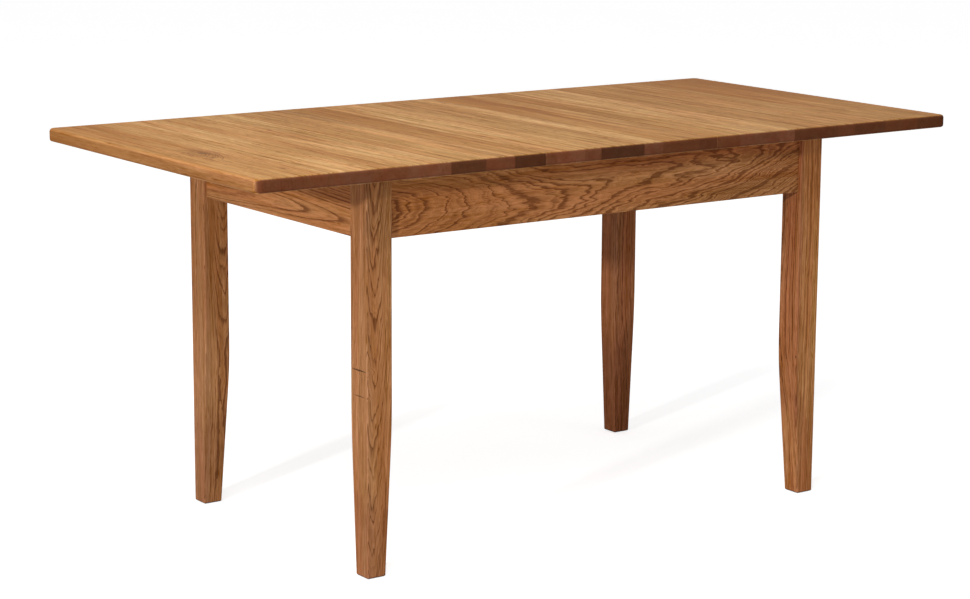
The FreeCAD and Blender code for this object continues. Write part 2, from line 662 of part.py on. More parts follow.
def make_seam_plate(half, row, number):
    """Steel plate under a half top that reaches under the leaf and keeps the two level."""
    name, side_x, _, _ = half
    body = new_body(f"seam_plate_{name}_{number}")
    plan = new_sketch(body, "plan", "XY_Plane")
    rectangle(plan, "0", "-1 * plate_width / 2", "plate_length", "plate_width")
    pad(body, "plate", plan, "plate_thickness")
    length = body.Shape.BoundBox.XLength
    at_end = lambda box: near(box.XMin, 0) or near(box.XMax, length)
    fillet(body, "corners", lambda box: upright(box) and at_end(box), "plate_round")
    holes = new_sketch(body, "screw_holes_outline", "XY_Plane")
    circles(holes, [(along, "0") for along in PLATE_SCREWS], SCREW_HOLE)
    pocket(body, "screw_holes", holes, backwards=True)
    x = f"{side_x} * (leaf_length / 2 - plate_reach + plate_length)"
    place(body, x, row, f"{TOP_UNDERSIDE} - plate_thickness", 180 if side_x == 1 else 0)
    return body


def make_half_top(half):
    """Half of the top: straight at the seam, rounded everywhere else, with pilot holes under it."""
    name, side_x, centre, _ = half
    body = new_body(f"top_half_{name}")
    plan = new_sketch(body, "plan", "XY_Plane")
    rectangle(plan, "0", "-1 * top_width / 2", HALF_LENGTH, "top_width")
    pad(body, "board", plan, "top_thickness")
    box = body.Shape.BoundBox
    length, top = box.XLength, box.ZMax
    fillet(body, "corners", lambda box: upright(box) and near(box.XMax, 0), "top_corner_radius")
    at_seam = lambda box: near(box.XMin, length)
    fillet(body, "upper_arris", lambda box: near(box.ZMin, top) and not at_seam(box), "top_upper_round")
    fillet(body, "lower_arris", lambda box: near(box.ZMax, 0) and not at_seam(box), "top_lower_round")
    chamfer(body, "seam_arris", lambda box: near(box.ZMin, top) and at_seam(box), "seam_chamfer")

    turn = -side_x
    holes = []
    for along in RUNNER_SCREWS:
        for side_y in (-1, 1):
            holes.append((f"top_length / 2 - {RUNNER_END} + {along}", f"{side_y} * {centre}"))
    for row in PLATE_ROWS[name]:
        for along in PLATE_SCREWS:
            from_end = f"(top_length - leaf_length) / 2 + plate_reach - plate_length + {along}"
            holes.append((from_end, f"{turn} * ({row})"))
    pilots = new_sketch(body, "pilot_holes_outline", "XY_Plane")
    circles(pilots, holes, SCREW_HOLE)
    pocket(body, "pilot_holes", pilots, "screw_bite + hole_fit", backwards=True)
    place(body, f"{side_x} * top_length / 2", "0", TOP_UNDERSIDE, 180 if side_x == 1 else 0)
    return body


# ---------------------------------------------------------------- centre leaf

BATTEN_SCREWS = ["batten_screw_end", f"{BATTEN_LENGTH} / 2", f"{BATTEN_LENGTH} - batten_screw_end"]
SCREW_REACH = f"({BATTEN_LENGTH} / 2 - batten_screw_end)"
LEAF_SCREWS = [f"-1 * {SCREW_REACH}", "0", SCREW_REACH]


def make_leaf():
    """Loose board between the half tops, level with them and clear of the runners."""
    body = new_body("centre_leaf")
    plan = new_sketch(body, "plan", "XY_Plane")
    rectangle(plan, "-1 * leaf_length / 2", "-1 * top_width / 2", "leaf_length", "top_width")
    pad(body, "board", plan, "top_thickness - leaf_lift")
    box = body.Shape.BoundBox
    top = box.ZMax
    at_seam = lambda box: near(box.XMin, box.XMax)
    fillet(body, "upper_arris", lambda box: near(box.ZMin, top) and not at_seam(box), "top_upper_round")
    fillet(body, "lower_arris", lambda box: near(box.ZMax, 0) and not at_seam(box), "top_lower_round")
    chamfer(body, "seam_arris", lambda box: near(box.ZMin, top) and at_seam(box), "seam_chamfer")
    holes = [(along, f"{side_y} * {BATTEN_CENTRE}") for along in LEAF_SCREWS for side_y in (-1, 1)]
    pilots = new_sketch(body, "pilot_holes_outline", "XY_Plane")
    circles(pilots, holes, SCREW_HOLE)
    pocket(body, "pilot_holes", pilots, "screw_bite + hole_fit", backwards=True)
    place(body, "0", "0", LEAF_UNDERSIDE)
    return body


def make_batten(position, side_y):
    """Batten across the staves of the leaf, which also locates it between the inner runners."""
    body = new_body(f"leaf_batten_{position}")
    plan = new_sketch(body, "plan", "XY_Plane")
    rectangle(plan, "0", "0", BATTEN_LENGTH, "batten_width")
    pad(body, "batten", plan, "batten_height")
    length = body.Shape.BoundBox.XLength
    chamfer(body, "ends", lambda box: low_end(box, length), "end_chamfer")
    holes = [(along, "batten_width / 2") for along in BATTEN_SCREWS]
    shank = new_sketch(body, "shank_holes_outline", "XY_Plane")
    circles(shank, holes, SCREW_HOLE)
    pocket(body, "shank_holes", shank, backwards=True)
    sunk = new_sketch(body, "head_bores_outline", "XY_Plane")
    circles(sunk, holes, "counterbore")
    pocket(body, "head_bores", sunk, "batten_height - batten_seat", backwards=True)
    y = f"{side_y} * {BATTEN_CENTRE} - batten_width / 2"
    place(body, f"-1 * {BATTEN_LENGTH} / 2", y, f"{LEAF_UNDERSIDE} - batten_height")
    return body


# ---------------------------------------------------------------- bolts and screws, grouped by kind

# The shared places again, as numbers.

def vector(x, y, z):
    return FreeCAD.Vector(x, y, z)


def top_underside():
    return size("table_height") - size("top_thickness")


def frame_corner():
    """Outer faces of the rear right leg."""
    return (size("top_length") / 2 - size("end_overhang"), size("top_width") / 2 - size("side_overhang"))


def apron_inner():
    return size("apron_setback") + size("apron_thickness")


def block_bottom():
    return top_underside() - size("slide_clearance") - size("apron_height") + size("block_rise")


def rail_top():
    return top_underside() - size("runner_height") - size("runner_drop")


def track_centre():
    return frame_corner()[1] - size("track_inset")


def runner_centre(outside):
    """Centre line of the runners outside (1) or inside (-1) the track rails."""
    offset = size("track_width") / 2 + size("run_clearance") + size("runner_width") / 2
    return track_centre() + outside * offset


def batten_centre():
    gap = size("runner_width") / 2 + size("batten_clearance") + size("batten_width") / 2
    return runner_centre(-1) - gap


def plate_rows():
    """The outer and the inner row of the seam plates, from the middle of the table."""
    outer = runner_centre(1) + size("runner_width") / 2 + size("plate_runner_gap") + size("plate_width") / 2
    inner = batten_centre() - size("batten_width") / 2 - size("plate_batten_gap") - size("plate_width") / 2
    return outer, inner


def cross_rail():
    return frame_corner()[0] - size("cross_rail_inset")


def stop_middle():
    rail_face = cross_rail() - size("cross_rail_thickness") / 2
    return rail_face - size("draw_travel") - size("stop_clearance") - size("stop_length") / 2


def runner_screw_places():
    """Screws of a runner along X, from the first near its outer end to the last near the seam."""
    outer_end = frame_corner()[0] - apron_inner() - size("draw_travel") - size("runner_end_clearance")
    first = outer_end - size("runner_screw_end")
    last = size("leaf_length") / 2 + size("runner_screw_seam")
    return [first + (last - first) * number / (SCREWS_PER_RUNNER - 1) for number in range(SCREWS_PER_RUNNER)]


def screw(seat, direction, length):
    """Pan-head wood screw: the underside of its head is at seat, its point lies along direction."""
    head_height, radius = size("screw_head_height"), size("screw_diameter") / 2
    head = Part.makeCylinder(size("screw_head") / 2, head_height, seat - direction * head_height, direction)
    top = seat - direction * head_height
    crown = [edge for edge in head.Edges if edge.isClosed() and near((edge.CenterOfMass - top).Length, 0)]
    head = head.makeFillet(size("screw_crown"), crown)
    straight = length - size("screw_point")
    shank = Part.makeCylinder(radius, straight, seat, direction)
    start = seat + direction * straight
    point = Part.makeCone(radius, size("screw_tip") / 2, size("screw_point"), start, direction)
    return head.fuse([shank, point]).removeSplitter()


def group(label, solids):
    """One node of identical fasteners, each a solid of its own."""
    feature = doc.addObject("Part::Feature", label)
    feature.Label = label
    feature.Shape = Part.makeCompound(solids)
    return feature


def corner_places():
    """Placement of each corner's local frame on the floor."""
    places = []
    for _, side_x, side_y, turn in CORNERS:
        reach_x, reach_y = frame_corner()
        corner = vector(side_x * reach_x, side_y * reach_y, 0)
        places.append(FreeCAD.Placement(corner, FreeCAD.Rotation(Z_AXIS, turn)))
    return places


def at_corners(solids):
    """The solids of one corner, given in its local frame, repeated at all four."""
    return [solid.transformed(place.toMatrix()) for place in corner_places() for solid in solids]


def make_corner_hardware():
    """Hanger bolts with a washer and a nut each, and the screws of the corner blocks."""
    leg, inner = size("leg_section"), apron_inner()
    outward = vector(1, 1, 0).normalize()
    arris = vector(leg, leg, 0)
    far_edge = leg + size("block_near") + size("block_land")
    to_far_face = (inner + far_edge - 2 * leg) / math.sqrt(2)
    washer, nut = size("washer_thickness"), size("nut_height")
    bore = (size("bolt_diameter") + size("hole_fit")) / 2

    bolts, washers, nuts, screws = [], [], [], []
    for height in (size("bolt_low"), size("bolt_low") + size("bolt_pitch")):
        foot = arris + vector(0, 0, block_bottom() + height)
        start = foot - outward * size("bolt_grip")
        length = size("bolt_grip") + to_far_face + washer + nut + size("bolt_end")
        bolts.append(Part.makeCylinder(size("bolt_diameter") / 2, length, start, outward))
        face = foot + outward * to_far_face
        disc = Part.makeCylinder(size("washer_diameter") / 2, washer, face, outward)
        washers.append(disc.cut(Part.makeCylinder(bore, washer, face, outward)))
        seat = face + outward * washer
        nuts.append(hexagon(seat, outward, nut).cut(Part.makeCylinder(bore, nut, seat, outward)))

    along = leg + size("block_near") + size("block_land") / 2
    head_seat = inner + size("block_seat")
    for height in (size("bolt_low") / 2, size("bolt_low") + size("bolt_pitch") / 2):
        level = block_bottom() + height
        length = size("block_seat") + size("screw_bite")
        screws.append(screw(vector(along, head_seat, level), vector(0, -1, 0), length))
        screws.append(screw(vector(head_seat, along, level), vector(-1, 0, 0), length))
    return [
        group("hanger_bolts", at_corners(bolts)),
        group("bolt_washers", at_corners(washers)),
        group("bolt_nuts", at_corners(nuts)),
        group("block_screws", at_corners(screws)),
    ]


def hexagon(seat, direction, height):
    """Six-sided prism of the nut, standing on seat along direction."""
    corner_radius = size("nut_width") / 2 / math.cos(math.pi / NUT_FLATS)
    turn = FreeCAD.Rotation(Z_AXIS, direction)
    corners = []
    for number in range(NUT_FLATS + 1):
        angle = 2 * math.pi * number / NUT_FLATS
        flat = vector(corner_radius * math.cos(angle), corner_radius * math.sin(angle), 0)
        corners.append(seat + turn.multVec(flat))
    return Part.Face(Part.makePolygon(corners)).extrude(direction * height)


def make_rail_screws():
    """Screws up through the cross rails into the track rails."""
    length = size("track_seat") + size("screw_bite")
    screws = []
    for side_x in (-1, 1):
        for side_y in (-1, 1):
            level = rail_top() - size("track_seat")
            seat = vector(side_x * cross_rail(), side_y * track_centre(), level)
            screws.append(screw(seat, Z_AXIS, length))
    return [group("track_screws", screws)]


def make_half_screws(half):
    """Screws of the runners, the stop blocks and the seam plates of one half top."""
    name, side_x, _, outside = half
    underside, bite = top_underside(), size("screw_bite")

    runner_screws, stop_screws, plate_screws = [], [], []
    for side_y in (-1, 1):
        y = side_y * runner_centre(outside)
        for x in runner_screw_places():
            seat = vector(side_x * x, y, underside - size("runner_seat"))
            runner_screws.append(screw(seat, Z_AXIS, size("runner_seat") + bite))
        seat = vector(side_x * stop_middle(), y, underside - size("runner_height") - size("stop_height"))
        stop_screws.append(screw(seat, Z_AXIS, size("stop_height") + bite))
    plate_end = size("leaf_length") / 2 - size("plate_reach") + size("plate_length")
    outer_row, inner_row = plate_rows()
    for y in (side_x * outer_row, -side_x * inner_row):
        for number in range(SCREWS_PER_PLATE):
            x = plate_end - size("plate_screw_edge") - number * size("plate_screw_pitch")
            seat = vector(side_x * x, y, underside - size("plate_thickness"))
            plate_screws.append(screw(seat, Z_AXIS, size("plate_thickness") + bite))
    return [
        group(f"runner_screws_{name}", runner_screws),
        group(f"stop_screws_{name}", stop_screws),
        group(f"plate_screws_{name}", plate_screws),
    ]


def make_batten_screws():
    """Screws up through the battens into the leaf."""
    seat_level = top_underside() + size("leaf_lift") - size("batten_seat")
    reach = size("leaf_length") / 2 - size("batten_inset") - size("batten_screw_end")
    length = size("batten_seat") + size("screw_bite")
    screws = [screw(vector(x, side_y * batten_centre(), seat_level), Z_AXIS, length)
              for x in (-reach, 0, reach) for side_y in (-1, 1)]
    return [group("batten_screws", screws)]


# ---------------------------------------------------------------- the table

def build():
    """Every node of the table."""
    nodes = []
    for corner in CORNERS:
        nodes += [make_leg(corner), make_glide(corner), make_corner_block(corner)]
    for name, span, turn, side_x, side_y, housed in APRONS:
        x = f"{side_x} * ({FRAME_LENGTH} / 2 - apron_setback)"
        y = f"{side_y} * ({FRAME_WIDTH} / 2 - leg_section)"
        if housed:
            x = f"{side_x} * ({FRAME_LENGTH} / 2 - leg_section)"
            y = f"{side_y} * ({FRAME_WIDTH} / 2 - apron_setback)"
        nodes.append(make_apron(name, span, turn, x, y, housed))
    nodes += [
        make_cross_rail("cross_rail_left", -1),
        make_cross_rail("cross_rail_right", 1),
        make_track_rail("track_rail_front", -1),
        make_track_rail("track_rail_rear", 1),
    ]
    nodes += make_corner_hardware() + make_rail_screws()
    for half in HALVES:
        nodes.append(make_half_top(half))
        for position, side_y in PAIR:
            nodes += [make_runner(half, position, side_y), make_stop(half, position, side_y)]
        for number, row in enumerate(PLATE_ROWS[half[0]], start=1):
            nodes.append(make_seam_plate(half, row, number))
        nodes += make_half_screws(half)
    nodes.append(make_leaf())
    nodes += [make_batten(position, side_y) for position, side_y in PAIR]
    nodes += make_batten_screws()
    doc.recompute()
    return nodes


def check(nodes):
    """Stop on any failed object, empty shape or invalid shape."""
    for thing in doc.Objects:
        if "Invalid" in thing.State or "Error" in thing.State:
            raise RuntimeError(f"{thing.Label} failed: {thing.State}")
    for node in nodes:
        if node.Shape.isNull() or not node.Shape.isValid() or not node.Shape.Solids:
            raise RuntimeError(f"{node.Label} has no valid solid")


def export(nodes):
    """Write each node to parts/NODE.step."""
    os.makedirs("parts", exist_ok=True)
    for node in nodes:
        node.Shape.exportStep(f"parts/{node.Label}.step")
        box = node.Shape.optimalBoundingBox()
        spans = ((box.XMin, box.XMax), (box.YMin, box.YMax), (box.ZMin, box.ZMax))
        print(f"{node.Label:28} solids {len(node.Shape.Solids):2}  ",
              "  ".join(f"{low:8.2f} {high:8.2f}" for low, high in spans))


table_nodes = build()
check(table_nodes)
export(table_nodes)
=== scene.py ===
"""Extending dining table: finishes, threaded screws, floor, lamps and camera.

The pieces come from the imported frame. Every length is in metres, with the origin on the floor
under the middle of the open table, +X to the right half top, +Y to the back and +Z up.
"""

import math

import bpy
import numpy as np
from bpy.props import FloatProperty, FloatVectorProperty, PointerProperty
from mathutils import Matrix, Vector


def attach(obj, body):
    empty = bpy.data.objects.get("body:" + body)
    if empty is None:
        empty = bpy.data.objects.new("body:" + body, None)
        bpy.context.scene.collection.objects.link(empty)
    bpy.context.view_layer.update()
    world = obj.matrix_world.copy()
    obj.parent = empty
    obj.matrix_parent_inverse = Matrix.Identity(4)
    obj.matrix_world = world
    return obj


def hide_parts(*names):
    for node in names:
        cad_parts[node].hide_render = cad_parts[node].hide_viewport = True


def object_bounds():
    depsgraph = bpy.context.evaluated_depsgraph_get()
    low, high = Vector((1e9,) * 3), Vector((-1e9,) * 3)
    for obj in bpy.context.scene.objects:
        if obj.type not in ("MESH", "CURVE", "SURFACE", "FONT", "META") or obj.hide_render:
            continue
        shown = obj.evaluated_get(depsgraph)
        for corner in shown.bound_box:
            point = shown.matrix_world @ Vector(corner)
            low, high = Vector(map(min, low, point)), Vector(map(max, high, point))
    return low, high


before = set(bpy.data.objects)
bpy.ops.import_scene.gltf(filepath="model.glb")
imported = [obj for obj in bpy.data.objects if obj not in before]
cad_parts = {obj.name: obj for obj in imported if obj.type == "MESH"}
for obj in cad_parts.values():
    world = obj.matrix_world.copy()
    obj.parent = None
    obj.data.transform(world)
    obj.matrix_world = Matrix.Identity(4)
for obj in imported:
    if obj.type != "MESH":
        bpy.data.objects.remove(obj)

bl_info = {
    "name": "Extending Dining Table",
    "version": (1, 0, 0),
    "blender": (4, 5, 0),
    "location": "3D View > Sidebar > Table",
    "description": "Finishes an extending oak table, threads its screws and sets up its stage",
    "category": "Object",
}

CAD_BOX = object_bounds()
CORNERS = ("front_left", "front_right", "rear_right", "rear_left")
HALVES = ("left", "right")
SIDES = ("front", "rear")
MILLIMETRE = 0.001
ZINC = "Zinc Plated Steel"
TURN_STEPS = 32

# Tints of the oak: golden and ruddy drift, how much faster green and blue change with the shade,
# painted shade on the top's end faces that look along X, and a paler painted highlight, also standing
# for wear, on rounded edges. Narrow stretches the distance to a tree's heart across a board.
GOLDEN = (1.02, 1.08, 1.06, 1.0)
RUDDY = (1.02, 0.94, 0.86, 1.0)
DEEPENING = (1.0, 1.35, 2.3)
SIDE_PAINTED_SHADE = (0.89, 0.86, 1.00, 1.0)
PALER = (0.97, 1.0, 1.25)
NARROW = (2.0, 1.0, 0.0)

# Further colours, and how shiny the oiled oak and how bright the floor's camera image is.
WHITE = (1.0, 1.0, 1.0, 1.0)
CHECK_COLOUR = (0.045, 0.018, 0.008, 1.0)
KNOT_COLOUR = (0.10, 0.04, 0.014, 1.0)
DULL_ZINC = (0.36, 0.37, 0.36, 1.0)
SCUFF_COLOUR = (0.20, 0.17, 0.14, 1.0)
OIL_SPECULAR = 0.08
FLOOR_LIFT = 0.735

# The knot of the left half top, and a painted highlight beside the left joint, where its chamfer
# catches the light, as across, up and along.
KNOT_CENTRE = (-0.722, 0.760, -0.072)
KNOT_REACH = (0.008, 0.010, 0.016)
KNOT_BEND = 0.052
TOP_PAINTED_HIGHLIGHT = (((-0.2015, 0.760, -0.33), (0.0022, 0.01, 0.07), (1.25, 1.30, 1.45)),)

# The lamps: name, place, what it faces, side, and power as a share of the key lamp's.
LAMPS = (
    ("Key", (-2.4, -1.8, 4.3), (0.0, 0.0, 0.6), 2.4, 1.0),
    ("Side", (-5.1, -2.1, 1.71), (-0.5, -0.2, 0.5), 0.2, 0.86),
    ("Fill", (2.6, -3.6, 1.8), (0.5, 0.0, 0.4), 1.6, 0.09),
)

# The staves of the top, from its left end: left edge in millimetres, tone from dark -1 to light 1,
# redness from 0 to 1, and how dark the end grain is from 0 to 1.
STAVES = (
    (-800, -0.05, 0.55, 0.45), (-708, 0.20, 0.30, 0.35), (-640, 0.65, 0.05, 0.50), (-572, -0.10, 0.20, 0.25),
    (-505, 0.45, 0.05, 0.30), (-412, -0.35, 0.15, 0.80), (-335, 0.10, 0.25, 0.40), (-272, -0.45, 0.55, 0.95),
    (-200, 0.15, 0.25, 0.35), (-180, 0.65, 0.05, 0.30), (-118, 0.20, 0.05, 0.40), (-75, -0.25, 0.15, 1.00),
    (22, 0.65, 0.05, 0.55), (66, -0.15, 0.75, 0.50), (155, -0.05, 0.40, 0.70), (200, -0.40, 0.45, 0.30),
    (252, 0.45, 0.05, 0.45), (352, 0.75, 0.05, 0.35), (392, -0.40, 0.25, 0.60), (502, 0.10, 0.45, 0.50),
    (548, -0.10, 0.40, 0.70), (628, -0.30, 0.75, 0.40), (716, -0.35, 0.90, 0.65),
)


class OakSettings(bpy.types.PropertyGroup):
    """Colours and figure of the oiled oak."""

    light: FloatVectorProperty(
        name="Light Wood", description="Oiled oak between the ring lines", subtype="COLOR",
        default=(0.445, 0.190, 0.068))
    top_light: FloatVectorProperty(
        name="Light Wood of the Top", description="Oiled oak of the staves between the ring lines",
        subtype="COLOR", default=(0.50, 0.252, 0.080))
    line: FloatVectorProperty(
        name="Ring Lines", description="Oiled oak in the porous ring lines", subtype="COLOR",
        default=(0.180, 0.062, 0.018))
    red: FloatVectorProperty(
        name="Red Heartwood", description="Colour that the redder staves lean to", subtype="COLOR",
        default=(0.43, 0.150, 0.015))
    end: FloatVectorProperty(
        name="End Grain", description="What end grain multiplies the colour by", subtype="COLOR",
        default=(0.25, 0.158, 0.205))
    ring: FloatProperty(
        name="Ring Width", description="One year's growth", subtype="DISTANCE", unit="LENGTH",
        default=0.0032)


class InnerSettings(bpy.types.PropertyGroup):
    """Colours of the inner wood and the fittings."""

    beech: FloatVectorProperty(
        name="Beech", description="Unfinished beech", subtype="COLOR", default=(0.58, 0.40, 0.24))
    beech_line: FloatVectorProperty(
        name="Beech Lines", description="Ring lines of the beech", subtype="COLOR",
        default=(0.42, 0.25, 0.135))
    zinc: FloatVectorProperty(
        name="Zinc", description="Zinc plating", subtype="COLOR", default=(0.62, 0.63, 0.62))
    glide: FloatVectorProperty(
        name="Glide Plastic", description="Moulded plastic of the foot glides", subtype="COLOR",
        default=(0.075, 0.055, 0.040))


class FastenerSettings(bpy.types.PropertyGroup):
    """Threads and recesses of the screws and hanger bolts."""

    pitch: FloatProperty(
        name="Screw Pitch", description="From turn to turn of a wood screw", subtype="DISTANCE",
        unit="LENGTH", default=0.0018)
    depth: FloatProperty(
        name="Thread Depth", description="Depth of the thread of a wood screw", subtype="DISTANCE",
        unit="LENGTH", default=0.0006)
    bolt_pitch: FloatProperty(
        name="Bolt Pitch", description="From turn to turn at the nut end of a hanger bolt",
        subtype="DISTANCE", unit="LENGTH", default=0.00125)
    recess_width: FloatProperty(
        name="Recess Width", description="Width of each arm of the cross recess", subtype="DISTANCE",
        unit="LENGTH", default=0.0009)
    recess_reach: FloatProperty(
        name="Recess Reach", description="Length of each arm from the middle of the head",
        subtype="DISTANCE", unit="LENGTH", default=0.0022)
    recess_depth: FloatProperty(
        name="Recess Depth", description="Depth of the cross recess at its middle", subtype="DISTANCE",
        unit="LENGTH", default=0.0016)


class StageSettings(bpy.types.PropertyGroup):
    """Floor, lamps and camera."""

    floor_colour: FloatVectorProperty(
        name="Floor", description="Colour of the pale floor", subtype="COLOR", default=(0.70, 0.70, 0.70))
    floor_size: FloatProperty(
        name="Floor Size", description="Side of the square floor", subtype="DISTANCE", unit="LENGTH",
        default=40.0)
    world: FloatProperty(name="World", description="Strength of the even light from all round", default=0.31)
    key: FloatProperty(name="Key Lamp", description="Power of the lamp in front on the left, in watts",
                       subtype="POWER", unit="POWER", default=156.0)
    camera_place: FloatVectorProperty(
        name="Camera Place", description="Where the camera stands", subtype="TRANSLATION", unit="LENGTH",
        default=(-2.937, -4.091, 1.409))
    camera_heading: FloatProperty(
        name="Heading", description="Turn of the camera from straight back towards the right",
        subtype="ANGLE", unit="ROTATION", default=0.6138)
    camera_pitch: FloatProperty(
        name="Pitch", description="How far the camera looks down", subtype="ANGLE", unit="ROTATION",
        default=0.1971)
    camera_roll: FloatProperty(
        name="Roll", description="Turn of the picture", subtype="ANGLE", unit="ROTATION", default=0.0054)
    lens: FloatProperty(
        name="Lens", description="Focal length on a 36 mm wide film, in millimetres", default=96.0)


class Wiring:
    """Short ways to add nodes to one tree and to join them."""

    def __init__(self, tree):
        self.tree = tree

    def node(self, kind, sockets=None, **settings):
        """Add a node; sockets gives values or other nodes' outputs by input name or number."""
        made = self.tree.nodes.new(kind)
        for name, value in settings.items():
            setattr(made, name, value)
        for key, value in (sockets or {}).items():
            self.fill(made.inputs[key], value)
        return made

    def fill(self, socket, value):
        """Link an output to a socket, or set the socket to a value."""
        if isinstance(value, bpy.types.NodeSocket):
            self.tree.links.new(value, socket)
        else:
            socket.default_value = value

    def math(self, operation, *values, clamp=False):
        """One sum on numbers."""
        made = self.node("ShaderNodeMath", dict(enumerate(values)), operation=operation, use_clamp=clamp)
        return made.outputs[0]

    def vector(self, operation, *values):
        """One sum on vectors."""
        made = self.node("ShaderNodeVectorMath", dict(enumerate(values)), operation=operation)
        return made.outputs["Value" if operation in ("LENGTH", "DOT_PRODUCT", "DISTANCE") else "Vector"]

    def stretched(self, where, across, along):
        """Coordinates for a pattern that is stretched along the grain."""
        return self.vector("MULTIPLY", where, (across, across, along))

    def noise(self, where, scale=1.0, detail=2.0, roughness=0.5):
        """A noise texture; its outputs are Fac and Color."""
        sockets = {"Vector": where, "Scale": scale, "Detail": detail, "Roughness": roughness}
        return self.node("ShaderNodeTexNoise", sockets)

    def ease(self, value, low, high, to_low=0.0, to_high=1.0):
        """A smooth step from to_low at low to to_high at high."""
        sockets = {"Value": value, "From Min": low, "From Max": high, "To Min": to_low, "To Max": to_high}
        return self.node("ShaderNodeMapRange", sockets, interpolation_type="SMOOTHSTEP").outputs["Result"]

    def spread(self, value, low, high, to_low, to_high):
        """A straight map from one range to another."""
        sockets = {"Value": value, "From Min": low, "From Max": high, "To Min": to_low, "To Max": to_high}
        return self.node("ShaderNodeMapRange", sockets).outputs["Result"]

    def ramp(self, value, stops, interpolation="LINEAR"):
        """A colour ramp; stops are (position, grey) or (position, (red, green, blue))."""
        made = self.node("ShaderNodeValToRGB", {"Fac": value})
        band = made.color_ramp
        band.interpolation = interpolation
        while len(band.elements) < len(stops):
            band.elements.new(1.0)
        for element, (position, shade) in zip(band.elements, stops):
            element.position = position
            element.color = (*(shade if isinstance(shade, tuple) else (shade,) * 3), 1.0)
        return made.outputs["Color"]

    def mix(self, factor, first, second, blend="MIX"):
        """Mix two colours."""
        sockets = {0: factor, 6: first, 7: second}
        made = self.node("ShaderNodeMix", sockets, data_type="RGBA", blend_type=blend)
        return made.outputs[2]

    def scale(self, vector, amount):
        """Multiply a vector or a colour by one number."""
        plain = vector[:3] if isinstance(vector, tuple) else vector
        made = self.node("ShaderNodeVectorMath", {0: plain, "Scale": amount}, operation="SCALE")
        return made.outputs["Vector"]

    def split(self, vector):
        """The three numbers of a vector."""
        return self.node("ShaderNodeSeparateXYZ", {0: vector}).outputs

    def join(self, x, y, z):
        """A vector from three numbers."""
        return self.node("ShaderNodeCombineXYZ", {0: x, 1: y, 2: z}).outputs[0]

    def group(self, tree, **sockets):
        """Place a node group; sockets are given with underscores for spaces."""
        made = self.tree.nodes.new("ShaderNodeGroup")
        made.node_tree = tree
        for name, value in sockets.items():
            self.fill(made.inputs[name.replace("_", " ")], value)
        return made.outputs


def new_group(name, inputs, outputs):
    """Start a node group; inputs are (name, kind, default) and outputs are (name, kind)."""
    tree = bpy.data.node_groups.new(name, "ShaderNodeTree")
    for label, kind, default in inputs:
        socket = tree.interface.new_socket(label, in_out="INPUT", socket_type="NodeSocket" + kind)
        if default is not None:
            socket.default_value = default
    for label, kind in outputs:
        tree.interface.new_socket(label, in_out="OUTPUT", socket_type="NodeSocket" + kind)
    source = tree.nodes.new("NodeGroupInput")
    sink = tree.nodes.new("NodeGroupOutput")
    return Wiring(tree), source.outputs, sink.inputs


def ready_group(name, build):
    """The node group of that name, built on first use."""
    return bpy.data.node_groups.get(name) or build(name)


def shaded(w, colour, amount):
    """Lighter and paler wood where amount is above 0, darker and redder wood where it is below 0."""
    change = w.vector("MULTIPLY_ADD", amount, DEEPENING, (1.0, 1.0, 1.0))
    return w.vector("MULTIPLY", colour, w.vector("MAXIMUM", change, (0.05, 0.05, 0.05)))


def build_rings(name):
    """Distance from the tree's heart, wandering slowly and raggedly along the grain.

    The heart is a line: at a length t along the grain it lies at Heart + Lean * t + Bow * t * t.
    Oval stretches the distance across and through the board.
    """
    w, given, result = new_group(
        name,
        [("Position", "Vector", None), ("Heart", "Vector", None), ("Lean", "Vector", None),
         ("Bow", "Vector", None), ("Oval", "Vector", (1.0, 1.0, 0.0)), ("Wander", "Float", 0.01),
         ("Ragged", "Float", 0.001)],
        [("Distance", "Float")])
    along = w.split(given["Position"])[2]
    slow = w.noise(w.stretched(given["Position"], 7.0, 2.2), detail=1.0).outputs["Color"]
    quick = w.noise(w.stretched(given["Position"], 55.0, 9.0), detail=3.0, roughness=0.6).outputs["Color"]
    centred = [w.vector("SUBTRACT", pattern, (0.5, 0.5, 0.5)) for pattern in (slow, quick)]
    moved = w.vector("SUBTRACT", given["Position"], given["Heart"])
    moved = w.vector("SUBTRACT", moved, w.scale(given["Lean"], along))
    moved = w.vector("SUBTRACT", moved, w.scale(given["Bow"], w.math("MULTIPLY", along, along)))
    moved = w.vector("ADD", moved, w.scale(centred[0], given["Wander"]))
    moved = w.vector("ADD", moved, w.scale(centred[1], given["Ragged"]))
    flat = w.vector("MULTIPLY", moved, given["Oval"])
    w.fill(result["Distance"], w.vector("LENGTH", flat))
    return w.tree


